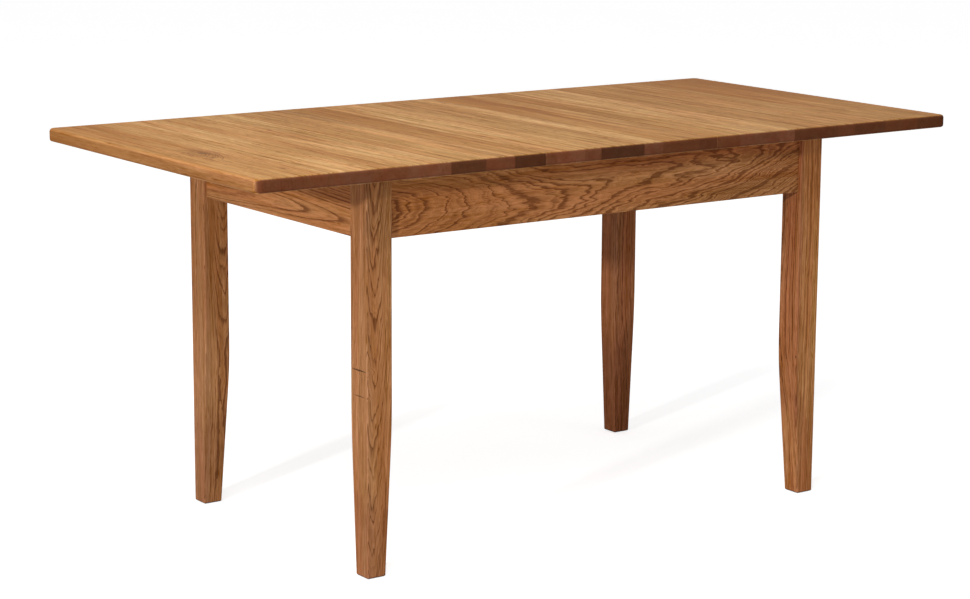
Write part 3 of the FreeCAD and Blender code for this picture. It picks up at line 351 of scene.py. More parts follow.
def build_figure(name):
    """Colour, roughness and height of wood from the distance to the tree's heart; Calm evens them out."""
    w, given, result = new_group(
        name,
        [("Position", "Vector", None), ("Distance", "Float", 0.0), ("Ring Width", "Float", 0.003),
         ("Light", "Color", None), ("Line", "Color", None), ("Contrast", "Float", 0.6),
         ("Pores", "Float", 1.0), ("Streaks", "Float", 1.0), ("Calm", "Float", 0.0)],
        [("Color", "Color"), ("Height", "Float"), ("Roughness", "Float")])
    position = given["Position"]
    lively = w.spread(given["Calm"], 0.0, 1.0, 1.0, 0.35)
    years = w.math("DIVIDE", given["Distance"], given["Ring Width"])
    uneven = w.node("ShaderNodeTexNoise", {"W": years, "Scale": 0.31, "Detail": 2.0}, noise_dimensions="1D")
    years = w.math("MULTIPLY_ADD", uneven.outputs["Fac"], 2.6, years)
    strength = w.node("ShaderNodeTexNoise", {"W": years, "Scale": 0.7, "Detail": 1.0}, noise_dimensions="1D")
    fibre = w.noise(w.stretched(position, 420.0, 36.0), detail=3.0, roughness=0.6).outputs["Fac"]
    line = w.ramp(w.math("FRACT", years),
                  [(0.0, 0.04), (0.06, 1.0), (0.22, 0.78), (0.48, 0.26), (0.8, 0.04), (1.0, 0.04)])
    line = w.math("MULTIPLY", line, w.ease(strength.outputs["Fac"], 0.36, 0.62, 0.22, 1.0))
    between = w.math("FRACT", w.math("MULTIPLY_ADD", years, 3.0, 0.4))
    between = w.ramp(between, [(0.0, 0.0), (0.12, 0.26), (0.5, 0.05), (1.0, 0.0)])
    line = w.math("MAXIMUM", line, between)
    line = w.math("MULTIPLY", line, w.spread(fibre, 0.35, 0.65, 1.0, 0.55))
    patch = w.noise(w.stretched(position, 9.0, 2.0), detail=2.0).outputs["Fac"]
    line = w.math("MULTIPLY", line, w.ease(patch, 0.25, 0.7, 0.5, 1.0))
    line = w.math("MULTIPLY", line, lively)
    pore = w.noise(w.stretched(position, 1500.0, 42.0), detail=1.0).outputs["Fac"]
    open_pore = w.ease(pore, 0.60, 0.70)
    open_pore = w.math("MULTIPLY", open_pore, w.spread(line, 0.0, 1.0, 0.12, 1.0), clamp=True)
    open_pore = w.math("MULTIPLY", open_pore, given["Pores"])
    depth = w.math("MULTIPLY", line, given["Contrast"], clamp=True)
    colour = w.mix(depth, given["Light"], given["Line"])
    drift = w.noise(w.stretched(position, 34.0, 2.2), detail=2.0).outputs["Fac"]
    colour = w.vector("MULTIPLY", colour, w.mix(w.ease(drift, 0.34, 0.66), GOLDEN, RUDDY))
    colour = w.mix(w.math("MULTIPLY", open_pore, 0.55), colour, w.scale(given["Line"], 0.55))
    band = w.noise(w.stretched(position, 75.0, 3.0), detail=2.0).outputs["Fac"]
    cloud = w.noise(w.stretched(position, 8.0, 2.6), detail=2.0).outputs["Fac"]
    thread = w.noise(w.stretched(position, 230.0, 8.0), detail=3.0, roughness=0.6).outputs["Fac"]
    ray = w.noise(w.stretched(position, 330.0, 26.0), detail=1.0).outputs["Fac"]
    dash = w.noise(w.stretched(position, 290.0, 30.0), detail=1.0).outputs["Color"]
    shade = w.spread(fibre, 0.3, 0.7, -0.10, 0.10)
    shade = w.math("ADD", shade, w.spread(band, 0.3, 0.7, -0.15, 0.15))
    shade = w.math("ADD", shade, w.spread(cloud, 0.3, 0.7, -0.07, 0.07))
    shade = w.math("ADD", shade, w.ease(thread, 0.50, 0.66, 0.03, -0.15))
    shade = w.math("ADD", shade, w.ease(ray, 0.60, 0.72, 0.0, 0.14))
    shade = w.math("ADD", shade, w.ease(w.split(dash)[0], 0.66, 0.76, 0.0, -0.28))
    shade = w.math("MULTIPLY", shade, w.math("MULTIPLY", given["Streaks"], lively))
    w.fill(result["Color"], shaded(w, colour, shade))
    height = w.math("MULTIPLY", line, -0.35)
    height = w.math("MULTIPLY_ADD", open_pore, -1.0, height)
    w.fill(result["Height"], w.math("MULTIPLY_ADD", fibre, 0.35, height))
    rough = w.spread(fibre, 0.3, 0.7, 0.54, 0.64)
    w.fill(result["Roughness"], w.math("MULTIPLY_ADD", open_pore, 0.2, rough))
    return w.tree


def build_faces(name):
    """Masks for end grain, for side faces and for rounded edges, from the way the surface faces."""
    w, given, result = new_group(
        name, [("Facing", "Vector", None)], [("End", "Float"), ("Side", "Float"), ("Edge", "Float")])
    straight = w.vector("ABSOLUTE", w.vector("NORMALIZE", given["Facing"]))
    x, y, z = w.split(straight)
    w.fill(result["End"], w.ease(z, 0.30, 0.85))
    w.fill(result["Side"], w.ease(x, 0.30, 0.85))
    most = w.math("MAXIMUM", x, w.math("MAXIMUM", y, z))
    w.fill(result["Edge"], w.ease(most, 0.985, 0.80))
    return w.tree


def build_spot(name):
    """A small dark mark, such as a knot: how far the rings bend round it, and where it is dark."""
    w, given, result = new_group(
        name,
        [("Position", "Vector", None), ("Centre", "Vector", None), ("Reach", "Vector", (1.0, 1.0, 1.0))],
        [("Near", "Float"), ("Mask", "Float")])
    offset = w.vector("SUBTRACT", given["Position"], given["Centre"])
    wavy = w.noise(given["Position"], scale=260.0, detail=2.0).outputs["Fac"]
    away = w.vector("LENGTH", w.vector("DIVIDE", offset, given["Reach"]))
    away = w.math("ADD", away, w.spread(wavy, 0.3, 0.7, -0.2, 0.2))
    w.fill(result["Near"], w.ease(away, 6.0, 0.0))
    w.fill(result["Mask"], w.ease(away, 1.1, 0.55))
    return w.tree


def build_patch(name):
    """A soft uneven region of a board, such as heartwood, a pale streak, painted shade or a painted
    highlight.
    """
    w, given, result = new_group(
        name,
        [("Position", "Vector", None), ("Centre", "Vector", None), ("Reach", "Vector", (1.0, 1.0, 1.0))],
        [("Mask", "Float")])
    offset = w.vector("SUBTRACT", given["Position"], given["Centre"])
    wavy = w.noise(w.stretched(given["Position"], 40.0, 5.0), detail=3.0).outputs["Fac"]
    away = w.vector("LENGTH", w.vector("DIVIDE", offset, given["Reach"]))
    away = w.math("ADD", away, w.spread(wavy, 0.3, 0.7, -0.25, 0.25))
    w.fill(result["Mask"], w.ease(away, 1.15, 0.75))
    return w.tree


def new_material(name):
    """Start a material; gives the material, its wiring and its Principled BSDF."""
    material = bpy.data.materials.new(name)
    material.use_nodes = True
    return material, Wiring(material.node_tree), material.node_tree.nodes["Principled BSDF"]


def board_frame(w, order):
    """Object position and facing in a board's own axes: across, through and along the grain."""
    source = w.node("ShaderNodeTexCoord")
    turned = []
    for output in ("Object", "Normal"):
        parts = w.split(source.outputs[output])
        turned.append(w.join(*(parts[letter] for letter in order)))
    return turned


def bump(w, shader, height, distance, strength=1.0):
    """Feed a height, in units of distance, to the shader's normal."""
    sockets = {"Height": height, "Distance": distance, "Strength": strength}
    w.fill(shader.inputs["Normal"], w.node("ShaderNodeBump", sockets).outputs["Normal"])


def finish_oak(w, shader, colour, height, rough, faces, end_tint, edge_highlight=1.10):
    """Darken end grain, paint a highlight, also standing for wear, on rounded edges and join the oak to its
    shader.
    """
    colour = w.mix(faces["End"], colour, w.mix(1.0, colour, end_tint, "MULTIPLY"))
    # Painted highlight on rounded edges and seams, also standing for wear: lighter and paler there.
    highlit_and_worn = w.vector("MULTIPLY", w.scale(colour, edge_highlight), PALER)
    colour = w.mix(w.math("MULTIPLY", faces["Edge"], 0.7), colour, highlit_and_worn)
    w.fill(shader.inputs["Base Color"], colour)
    w.fill(shader.inputs["Roughness"], w.math("MULTIPLY_ADD", faces["End"], 0.12, rough))
    shader.inputs["Specular IOR Level"].default_value = OIL_SPECULAR
    bump(w, shader, height, 0.00025, 0.55)


def tinted(w, colour, position, patches):
    """Tint soft regions of a board; patches are (centre, reach, tint)."""
    for centre, reach, tint in patches:
        patch = w.group(ready_group("Patch", build_patch), Position=position, Centre=centre, Reach=reach)
        colour = w.vector("MULTIPLY", colour, w.mix(patch["Mask"], WHITE, four(tint)))
    return colour


def four(colour):
    """A colour property as a node colour."""
    return (*colour, 1.0)


def oak_material(name, oak, order, heart, lean=(0.0, 0.0, 0.0), bow=(0.0, 0.0, 0.0), oval=(1.0, 1.0, 0.0),
                 wander=0.02, ragged=0.002, tone=1.0, contrast=0.75, ring=1.0, streaks=1.0, marks=(),
                 patches=()):
    """Oiled oak with its own cut from the tree; marks are (centre, reach, bend) of knots and checks."""
    material, w, shader = new_material(name)
    position, facing = board_frame(w, order)
    faces = w.group(ready_group("Faces and Edges", build_faces), Facing=facing)
    rings = w.group(ready_group("Growth Rings", build_rings), Position=position, Heart=heart, Lean=lean,
                    Bow=bow, Oval=oval, Wander=wander, Ragged=ragged)
    distance = rings["Distance"]
    dark = None
    for centre, reach, bend in marks:
        spot = w.group(ready_group("Spot", build_spot), Position=position, Centre=centre, Reach=reach)
        distance = w.math("MULTIPLY_ADD", spot["Near"], bend, distance)
        dark = spot["Mask"] if dark is None else w.math("MAXIMUM", dark, spot["Mask"])
    figure = w.group(ready_group("Wood Figure", build_figure), Position=position, Distance=distance,
                     Ring_Width=ring * oak.ring, Light=four(oak.light), Line=four(oak.line),
                     Contrast=contrast, Streaks=streaks, Calm=faces["End"])
    colour = w.scale(tinted(w, figure["Color"], position, patches), tone)
    height = figure["Height"]
    if dark is not None:
        colour = w.mix(w.math("MULTIPLY", dark, 0.85), colour, CHECK_COLOUR)
        height = w.math("MULTIPLY_ADD", dark, -1.5, height)
    finish_oak(w, shader, colour, height, figure["Roughness"], faces, four(oak.end), 1.05)
    return material


def top_material(name, oak):
    """Oak staves side by side: each has its own tone, redness and cut, and runs front to back."""
    material, w, shader = new_material(name)
    position, facing = board_frame(w, "XZY")
    faces = w.group(ready_group("Faces and Edges", build_faces), Facing=facing)
    across = w.split(position)[0]
    low, high = CAD_BOX[0][0], CAD_BOX[1][0]
    stops = [((left * MILLIMETRE - low) / (high - low), (0.5 + 0.5 * tone, redness, dark))
             for left, tone, redness, dark in STAVES]
    place = w.spread(across, low, high, 0.0, 1.0)
    stave = w.ramp(place, stops, "CONSTANT")
    tone, redness, dark_end = w.node("ShaderNodeSeparateColor", {0: stave}).outputs
    left_edge = w.ramp(place, [(stop, stop) for stop, _ in stops], "CONSTANT")
    joint = w.ease(w.math("SUBTRACT", place, left_edge), 0.0005, 0.0002)
    deep = w.ease(w.split(position)[2], -0.20, 0.22, 0.30, 1.0)
    chance = w.node("ShaderNodeTexWhiteNoise", {"Vector": stave}, noise_dimensions="3D").outputs["Color"]
    turn, shift, spare = w.node("ShaderNodeSeparateColor", {0: chance}).outputs
    angle = w.spread(turn, 0.0, 1.0, math.radians(20), math.radians(84))
    far = 4.0
    heart = w.join(w.math("MULTIPLY", w.math("COSINE", angle), far),
                   w.math("MULTIPLY", w.math("SINE", angle), far), 0.0)
    shifted = w.vector("ADD", position, w.join(0.0, 0.0, w.math("MULTIPLY", shift, 7.0)))
    rings = w.group(ready_group("Growth Rings", build_rings), Position=shifted, Heart=heart,
                    Wander=0.030, Ragged=0.004)
    knot = w.group(ready_group("Spot", build_spot), Position=position, Centre=KNOT_CENTRE, Reach=KNOT_REACH)
    distance = w.math("MULTIPLY_ADD", knot["Near"], KNOT_BEND, rings["Distance"])
    contrast = w.math("MULTIPLY_ADD", knot["Near"], 2.0, 0.80)
    width = w.spread(spare, 0.0, 1.0, 1.0 * oak.ring, 2.6 * oak.ring)
    figure = w.group(ready_group("Wood Figure", build_figure), Position=shifted, Distance=distance,
                     Ring_Width=width, Light=four(oak.top_light), Line=four(oak.line),
                     Contrast=contrast, Pores=0.7, Streaks=1.6, Calm=faces["End"])
    redness = w.math("MULTIPLY", redness, deep)
    colour = w.mix(w.math("MULTIPLY", redness, 0.60), figure["Color"], four(oak.red))
    lightness = w.spread(tone, 0.0, 1.0, -0.20, 0.17)
    dimmer = w.math("MULTIPLY", redness, -0.22)
    colour = shaded(w, colour, w.math("ADD", lightness, dimmer))
    colour = shaded(w, colour, w.math("MULTIPLY", knot["Near"], -0.18))
    colour = w.mix(w.math("MULTIPLY", knot["Mask"], 0.50), colour, KNOT_COLOUR)
    colour = w.mix(w.math("MULTIPLY", joint, 0.35), colour, four(oak.line))
    # Painted highlight: a pale stripe on the top along the left joint, where its chamfer catches the light.
    colour = tinted(w, colour, position, TOP_PAINTED_HIGHLIGHT)
    # Painted shade: the top's left and right end faces, which look along X, darker and bluer.
    colour = w.mix(faces["Side"], colour, w.mix(1.0, colour, SIDE_PAINTED_SHADE, "MULTIPLY"))
    end = w.scale(four(oak.end), w.spread(dark_end, 0.0, 1.0, 1.38, 0.60))
    finish_oak(w, shader, colour, figure["Height"], figure["Roughness"], faces, end)
    return material


def beech_material(name, inner, order, heart):
    """Unfinished beech: pale, close rings, short flecks and hardly any pores."""
    material, w, shader = new_material(name)
    position, facing = board_frame(w, order)
    rings = w.group(ready_group("Growth Rings", build_rings), Position=position, Heart=heart,
                    Wander=0.01, Ragged=0.0005)
    figure = w.group(ready_group("Wood Figure", build_figure), Position=position,
                     Distance=rings["Distance"], Ring_Width=0.0026, Light=four(inner.beech),
                     Line=four(inner.beech_line), Contrast=0.45, Pores=0.15)
    fleck = w.noise(w.stretched(position, 650.0, 190.0), detail=1.0).outputs["Fac"]
    fleck = w.ease(fleck, 0.62, 0.70)
    colour = w.mix(w.math("MULTIPLY", fleck, 0.35), figure["Color"], four(inner.beech_line))
    faces = w.group(ready_group("Faces and Edges", build_faces), Facing=facing)
    colour = w.scale(colour, w.spread(faces["End"], 0.0, 1.0, 1.0, 0.72))
    # Painted highlight on rounded edges, also standing for wear: lighter there.
    colour = w.scale(colour, w.spread(faces["Edge"], 0.0, 1.0, 1.0, 1.08))
    w.fill(shader.inputs["Base Color"], colour)
    w.fill(shader.inputs["Roughness"], w.math("ADD", figure["Roughness"], 0.18))
    bump(w, shader, figure["Height"], 0.00015, 0.5)
    return material


def zinc_material(name, inner):
    """Zinc plating: faint spangle, brushing and small dull patches."""
    material, w, shader = new_material(name)
    place = w.node("ShaderNodeTexCoord").outputs["Object"]
    spangle = w.node("ShaderNodeTexVoronoi", {"Vector": place, "Scale": 420.0}).outputs["Distance"]
    dull = w.noise(place, scale=160.0, detail=3.0).outputs["Fac"]
    brushed = w.noise(w.vector("MULTIPLY", place, (90.0, 2600.0, 90.0)), detail=2.0).outputs["Fac"]
    colour = w.mix(w.ease(dull, 0.42, 0.66, 0.0, 0.5), four(inner.zinc), DULL_ZINC)
    w.fill(shader.inputs["Base Color"], w.scale(colour, w.spread(spangle, 0.0, 0.8, 0.94, 1.06)))
    shader.inputs["Metallic"].default_value = 1.0
    rough = w.math("MULTIPLY_ADD", dull, 0.22, 0.20)
    w.fill(shader.inputs["Roughness"], w.math("MULTIPLY_ADD", brushed, 0.08, rough))
    bump(w, shader, w.math("MULTIPLY_ADD", brushed, 0.4, dull), 0.00005, 0.4)
    return material


def glide_material(name, inner):
    """Moulded plastic with a fine grain and scuffs."""
    material, w, shader = new_material(name)
    place = w.node("ShaderNodeTexCoord").outputs["Object"]
    grain = w.noise(place, scale=2400.0, detail=2.0).outputs["Fac"]
    scuff = w.noise(place, scale=240.0, detail=4.0, roughness=0.7).outputs["Fac"]
    scuffed = w.ease(scuff, 0.52, 0.70)
    colour = w.mix(w.math("MULTIPLY", scuffed, 0.4), four(inner.glide), SCUFF_COLOUR)
    w.fill(shader.inputs["Base Color"], w.scale(colour, w.spread(grain, 0.3, 0.7, 0.9, 1.1)))
    w.fill(shader.inputs["Roughness"], w.math("MULTIPLY_ADD", scuffed, 0.2, 0.48))
    bump(w, shader, w.math("MULTIPLY_ADD", scuff, 0.5, grain), 0.00008, 0.5)
    return material


def dress(material, *nodes):
    """Give CAD nodes a material in all their slots."""
    for name in nodes:
        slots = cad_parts[name].material_slots
        if not slots:
            raise RuntimeError(f"{name} has no material slot")
        for slot in slots:
            slot.material = material


def solid_boxes(node):
    """Lowest and highest corners of each separate solid of a node, as two arrays.

    Corners at one place are one point; each point takes the lowest number among the triangles it
    is in, again and again, until all the points of a solid share one number.
    """
    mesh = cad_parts[node].data
    places = np.empty(3 * len(mesh.vertices))
    mesh.vertices.foreach_get("co", places)
    places, numbers = np.unique(places.reshape(-1, 3).round(6), axis=0, return_inverse=True)
    corners = np.empty(len(mesh.loops), int)
    mesh.loops.foreach_get("vertex_index", corners)
    triangles = numbers.ravel()[corners].reshape(-1, 3)
    label = np.arange(len(places))
    while True:
        lowest = label.copy()
        for column in range(3):
            np.minimum.at(lowest, triangles[:, column], label[triangles].min(axis=1))
        if (lowest == label).all():
            break
        label = lowest
    solids = [places[label == number] for number in np.unique(label)]
    low = [solid.min(axis=0) for solid in solids]
    high = [solid.max(axis=0) for solid in solids]
    return np.array(low), np.array(high)


def tube_faces(rows, columns):
    """Quads and end triangles of a closed tube: a point, rows of points round the axis, and a point."""
    this = np.arange(columns)
    following = np.roll(this, -1)
    start = 1 + columns * np.arange(rows - 1)[:, None]
    beyond = start + columns
    quads = np.stack([start + this, start + following, beyond + following, beyond + this], -1)
    last = 1 + columns * (rows - 1)
    near = np.stack([np.zeros_like(this), 1 + following, 1 + this], -1)
    far = np.stack([last + this, last + following, np.full_like(this, last + columns)], -1)
    return quads.reshape(-1, 4), np.concatenate([near, far])


def add_turned(name, radius, along, heads, directions, body, node, material):
    """Add one closed piece: copies of a turned form in place of a node.

    radius and along hold the distance from the axis and the distance from the head for each row of
    points round the axis. A copy stands at each head and points in its direction.
    """
    rows, columns = radius.shape
    turn = np.linspace(0, 2 * np.pi, columns, endpoint=False)
    across = np.cross(directions, np.eye(3)[np.abs(directions).argmin(axis=1)])
    across = across / np.linalg.norm(across, axis=1, keepdims=True)
    other = np.cross(directions, across)
    local = np.stack([radius * np.cos(turn), radius * np.sin(turn), along], -1).reshape(-1, 3)
    ends = np.array([[0, 0, along[0, 0]], [0, 0, along[-1].mean()]])
    local = np.concatenate([ends[:1], local, ends[1:]])
    axes = np.stack([across, other, directions], axis=1)
    points = heads[:, None] + np.einsum("pk,nkc->npc", local, axes)
    quads, triangles = tube_faces(rows, columns)
    shift = len(local) * np.arange(len(heads))[:, None, None]
    faces = (quads + shift).reshape(-1, 4).tolist() + (triangles + shift).reshape(-1, 3).tolist()
    mesh = bpy.data.meshes.new(name)
    mesh.from_pydata(points.reshape(-1, 3).tolist(), [], faces)
    mesh.set_sharp_from_angle(angle=math.radians(35))
    mesh.materials.append(material)
    piece = bpy.data.objects.new(name, mesh)
    bpy.context.scene.collection.objects.link(piece)
    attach(piece, body)
    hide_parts(node)


def thread(along, turn, pitch):
    """Height of a screw thread, 0 at its root and 1 at its crest: a ridge that climbs as it turns."""
    return np.clip(1.5 - 3.0 * np.abs(np.mod(along / pitch - turn / (2 * np.pi), 1.0) - 0.5), 0.0, 1.0)


def screw_form(length, sizes):
    """Radius and distance from the head of a pan head wood screw, on a grid round its axis.

    Rows run out over the flat face, round the edge of the head, in under it and along the shank.
    Two grooves that cross are sunk in the face, and a thread winds round the shank to its point.
    """
    head, flat, height, shank, point, tip = 0.004, 0.0025, 0.003, 0.002, 0.004, 0.0005
    turn = np.linspace(0, 2 * np.pi, TURN_STEPS, endpoint=False)
    bend = np.linspace(0, np.pi / 2, 6)
    radius = np.concatenate([np.linspace(0.0003, flat, 10), flat + (head - flat) * np.sin(bend[1:]),
                             [head, 0.0035, shank]])
    along = np.concatenate([np.zeros(10), (head - flat) * (1 - np.cos(bend[1:])), [height, height, height]])
    stem = np.arange(height + sizes.pitch / 4, length, sizes.pitch / 4)
    radius = np.concatenate([radius, np.full(len(stem), shank)])[:, None] + 0 * turn
    along = np.concatenate([along, stem])[:, None] + 0 * turn
    narrow = np.minimum(np.abs(radius * np.cos(turn)), np.abs(radius * np.sin(turn)))
    soft = sizes.recess_width / 3
    groove = np.clip((sizes.recess_width / 2 + soft - narrow) / soft, 0, 1)
    groove = groove * np.clip((sizes.recess_reach - radius) / soft, 0, 1) * (along < height / 4)
    begins = height + 0.25 * (length - height)
    cut = np.clip((along - begins) / sizes.pitch, 0, 1) * (1 - thread(along, turn, sizes.pitch))
    taper = np.clip((length - along) / point, tip / shank, 1)
    radius = np.where(along > height, (radius - sizes.depth * cut) * taper, radius)
    return radius, along + sizes.recess_depth * groove * (1 - 0.6 * radius / sizes.recess_reach)


def bolt_form(length, radius, sizes):
    """Radius and distance from the nut end of a hanger bolt, on a grid round its axis.

    The nut end has a fine thread and a bevelled tip, the middle is plain and the other end has a
    coarse thread that runs out to a point.
    """
    bevel, fine_end, coarse_start = 0.001, 0.36 * length, 0.52 * length
    turn = np.linspace(0, 2 * np.pi, TURN_STEPS, endpoint=False)
    fine = sizes.bolt_pitch
    coarse = 2.4 * fine
    along = np.concatenate([[0.0], np.arange(bevel, fine_end, fine / 5), [fine_end, coarse_start],
                            np.arange(coarse_start + coarse / 6, length, coarse / 6), [length]])
    along = along[:, None] + 0 * turn
    fine_cut = np.clip((fine_end - along) / fine, 0, 1) * (1 - thread(along, turn, fine))
    coarse_cut = np.clip((along - coarse_start) / coarse, 0, 1) * (1 - thread(along, turn, coarse))
    form = radius - 0.55 * fine * fine_cut - 0.45 * coarse * coarse_cut
    form = np.minimum(form, radius - bevel + along)
    return form * np.clip((length - along) / (2 * radius), 0.2, 1), along


class TABLE_OT_top(bpy.types.Operator):
    """Finish the two half tops and the centre leaf in oak staves."""

    bl_idname = "table.top"
    bl_label = "Half Tops and Leaf"

    def execute(self, context):
        oak = top_material("Oiled Oak Staves", context.scene.table_oak)
        dress(oak, "centre_leaf", *(f"top_half_{half}" for half in HALVES))
        return {"FINISHED"}


class TABLE_OT_legs(bpy.types.Operator):
    """Finish the four legs in upright oak, each with its own cut."""

    bl_idname = "table.legs"
    bl_label = "Legs"

    def execute(self, context):
        oak = context.scene.table_oak
        # The patch of each leg centred on the floor, at height 0.0, is painted shade: the leg darker towards
        # its foot.
        cuts = {
            "front_left": dict(
                heart=(-0.522, -0.232, 0.0), lean=(0.010, -0.060, 0.0), oval=(1.4, 1.0, 0.0), tone=0.86,
                patches=(((-0.487, -0.320, 0.40), (0.009, 0.02, 0.45), (1.12, 1.16, 1.20)),
                         ((-0.535, -0.29, 0.38), (0.012, 0.1, 1.0), (1.01, 1.03, 1.14)),
                         # Painted shade towards the foot.
                         ((-0.508, -0.293, 0.0), (0.1, 0.1, 0.15), (0.86, 0.80, 0.82))),
                marks=(((-0.535, -0.294, 0.383), (0.004, 0.024, 0.0018), 0.004),
                       ((-0.535, -0.296, 0.336), (0.004, 0.022, 0.0010), 0.002))),
            "front_right": dict(
                heart=(0.600, -0.260, 0.0), lean=(-0.020, 0.030, 0.0), tone=1.13,
                patches=(((0.526, -0.320, 0.43), (0.007, 0.02, 0.17), (1.10, 1.22, 1.20)),
                         ((0.476, -0.293, 0.37), (0.013, 0.10, 0.80), (0.76, 0.66, 0.71)),
                         # Painted shade towards the foot.
                         ((0.508, -0.293, 0.0), (0.1, 0.1, 0.20), (0.84, 0.78, 0.80))),
                marks=(((0.481, -0.320, 0.286), (0.003, 0.003, 0.004), 0.003),)),
            "rear_right": dict(heart=(0.450, 0.380, 0.0), lean=(0.020, 0.015, 0.0), tone=0.86,
                               # The first patch is painted shade towards the foot.
                               patches=(((0.50, 0.30, 0.0), (0.1, 0.1, 0.25), (0.72, 0.66, 0.66)),
                                        ((0.50, 0.30, 0.4), (1.0, 1.0, 2.0), (1.04, 0.91, 1.00)))),
            "rear_left": dict(heart=(-0.500, 0.352, 0.0), lean=(0.010, -0.055, 0.0), oval=(1.3, 1.0, 0.0),
                              tone=0.93,
                              # The first patch is painted shade towards the foot.
                              patches=(((-0.49, 0.30, 0.0), (0.1, 0.1, 0.20), (0.85, 0.80, 0.80)),
                                       ((-0.535, 0.29, 0.38), (0.012, 0.1, 1.0), (1.00, 1.05, 1.22)))),
        }
        for corner in CORNERS:
            material = oak_material(f"Oiled Oak Leg {corner}", oak, "XYZ", wander=0.016, ragged=0.006,
                                    ring=0.60, contrast=2.3, streaks=1.1, **cuts[corner])
            dress(material, f"leg_{corner}")
        return {"FINISHED"}


class TABLE_OT_aprons(bpy.types.Operator):
    """Finish the four aprons in flat-sawn oak with a bold figure."""

    bl_idname = "table.aprons"
    bl_label = "Aprons"

    def execute(self, context):
        oak = context.scene.table_oak
        long_cut = dict(wander=0.034, ragged=0.015, ring=1.15, contrast=3.5)
        end_cut = dict(oval=NARROW, wander=0.022, ragged=0.005, ring=2.8, contrast=2.0)
        # The first front patch is painted shadow, with some darker heartwood: the upper right of the apron
        # darker and redder under the top's overhang, on top of the lamp's own shadow.
        front_patches = (((0.742, -0.312, 0.32), (0.045, 0.03, 0.42), (0.90, 0.82, 0.82)),
                         ((0.728, -0.312, -0.20), (0.016, 0.03, 0.10), (1.16, 1.24, 1.35)))
        boards = {
            "front": ("ZYX", dict(heart=(0.672, -0.202, 0.0), lean=(0.112, 0.083, 0.0),
                                  bow=(0.213, -0.087, 0.0), tone=1.13, patches=front_patches, **long_cut)),
            "rear": ("ZYX", dict(heart=(0.690, 0.200, 0.0), lean=(-0.06, 0.10, 0.0), bow=(0.15, 0.06, 0.0),
                                 tone=1.02, **long_cut)),
            "left": ("ZXY", dict(heart=(0.645, -0.491, 0.0), lean=(0.0, -0.064, 0.0), tone=0.99, **end_cut)),
            "right": ("ZXY", dict(heart=(0.664, 0.491, 0.0), lean=(0.0, -0.070, 0.0), tone=1.05, **end_cut)),
        }
        for side, (order, cut) in boards.items():
            dress(oak_material(f"Oiled Oak Apron {side}", oak, order, **cut), f"apron_{side}")
        return {"FINISHED"}


class TABLE_OT_inner_wood(bpy.types.Operator):
    """Finish the rails, runners, stops, battens and corner blocks in plain beech."""

    bl_idname = "table.inner_wood"
    bl_label = "Rails, Runners and Blocks"

    def execute(self, context):
        inner = context.scene.table_inner
        lengthwise = beech_material("Beech Lengthwise", inner, "YZX", (0.10, 0.55, 0.0))
        crosswise = beech_material("Beech Crosswise", inner, "XZY", (0.05, 0.50, 0.0))
        upright = beech_material("Beech Upright", inner, "XYZ", (0.02, 0.04, 0.0))
        dress(lengthwise, *(f"track_rail_{side}" for side in SIDES))
        dress(lengthwise, *(f"leaf_batten_{side}" for side in SIDES))
        for half in HALVES:
            dress(lengthwise, *(f"runner_{half}_{side}" for side in SIDES))
            dress(crosswise, *(f"stop_block_{half}_{side}" for side in SIDES))
        dress(crosswise, *(f"cross_rail_{half}" for half in HALVES))
        dress(upright, *(f"corner_block_{corner}" for corner in CORNERS))
        return {"FINISHED"}


class TABLE_OT_fittings(bpy.types.Operator):
    """Finish the plates, washers and nuts in zinc-plated steel."""

    bl_idname = "table.fittings"
    bl_label = "Plates, Washers and Nuts"

    def execute(self, context):
        zinc = zinc_material(ZINC, context.scene.table_inner)
        dress(zinc, "bolt_washers", "bolt_nuts")
        for half in HALVES:
            dress(zinc, *(f"seam_plate_{half}_{number}" for number in (1, 2)))
        return {"FINISHED"}


class TABLE_OT_screws(bpy.types.Operator):
    """Cut threads and cross recesses on the wood screws and threads on the hanger bolts."""

    bl_idname = "table.screws"
    bl_label = "Screws and Hanger Bolts"

    def execute(self, context):
        sizes = context.scene.table_fastener
        zinc = bpy.data.materials[ZINC]
        bodies = {"block_screws": "frame", "track_screws": "frame", "batten_screws": "leaf"}
        for kind in ("runner", "stop", "plate"):
            bodies.update({f"{kind}_screws_{half}": f"{half}_half" for half in HALVES})
        for node, body in bodies.items():
            low, high = solid_boxes(node)
            middle = (low + high) / 2
            axis = (high - low).argmax(axis=1)
            length = (high - low).max()
            outwards = np.sign(middle[np.arange(len(axis)), axis])
            directions = np.eye(3)[axis] * outwards[:, None]
            heads = middle - directions * length / 2
            add_turned(f"threaded_{node}", *screw_form(length, sizes), heads, directions, body, node, zinc)
        low, high = solid_boxes("hanger_bolts")
        middle = (low + high) / 2
        diameter = (high - low)[0, 2]
        length = (high - low)[0, 0] * math.sqrt(2) - diameter
        directions = np.sign(middle) * [1, 1, 0] / math.sqrt(2)
        heads = middle - directions * length / 2
        add_turned("threaded_hanger_bolts", *bolt_form(length, diameter / 2, sizes), heads, directions,
                   "frame", "hanger_bolts", zinc)
        return {"FINISHED"}


class TABLE_OT_glides(bpy.types.Operator):
    """Finish the foot glides in moulded plastic."""

    bl_idname = "table.glides"
    bl_label = "Foot Glides"

    def execute(self, context):
        plastic = glide_material("Moulded Glide Plastic", context.scene.table_inner)
        dress(plastic, *(f"foot_glide_{corner}" for corner in CORNERS))
        return {"FINISHED"}


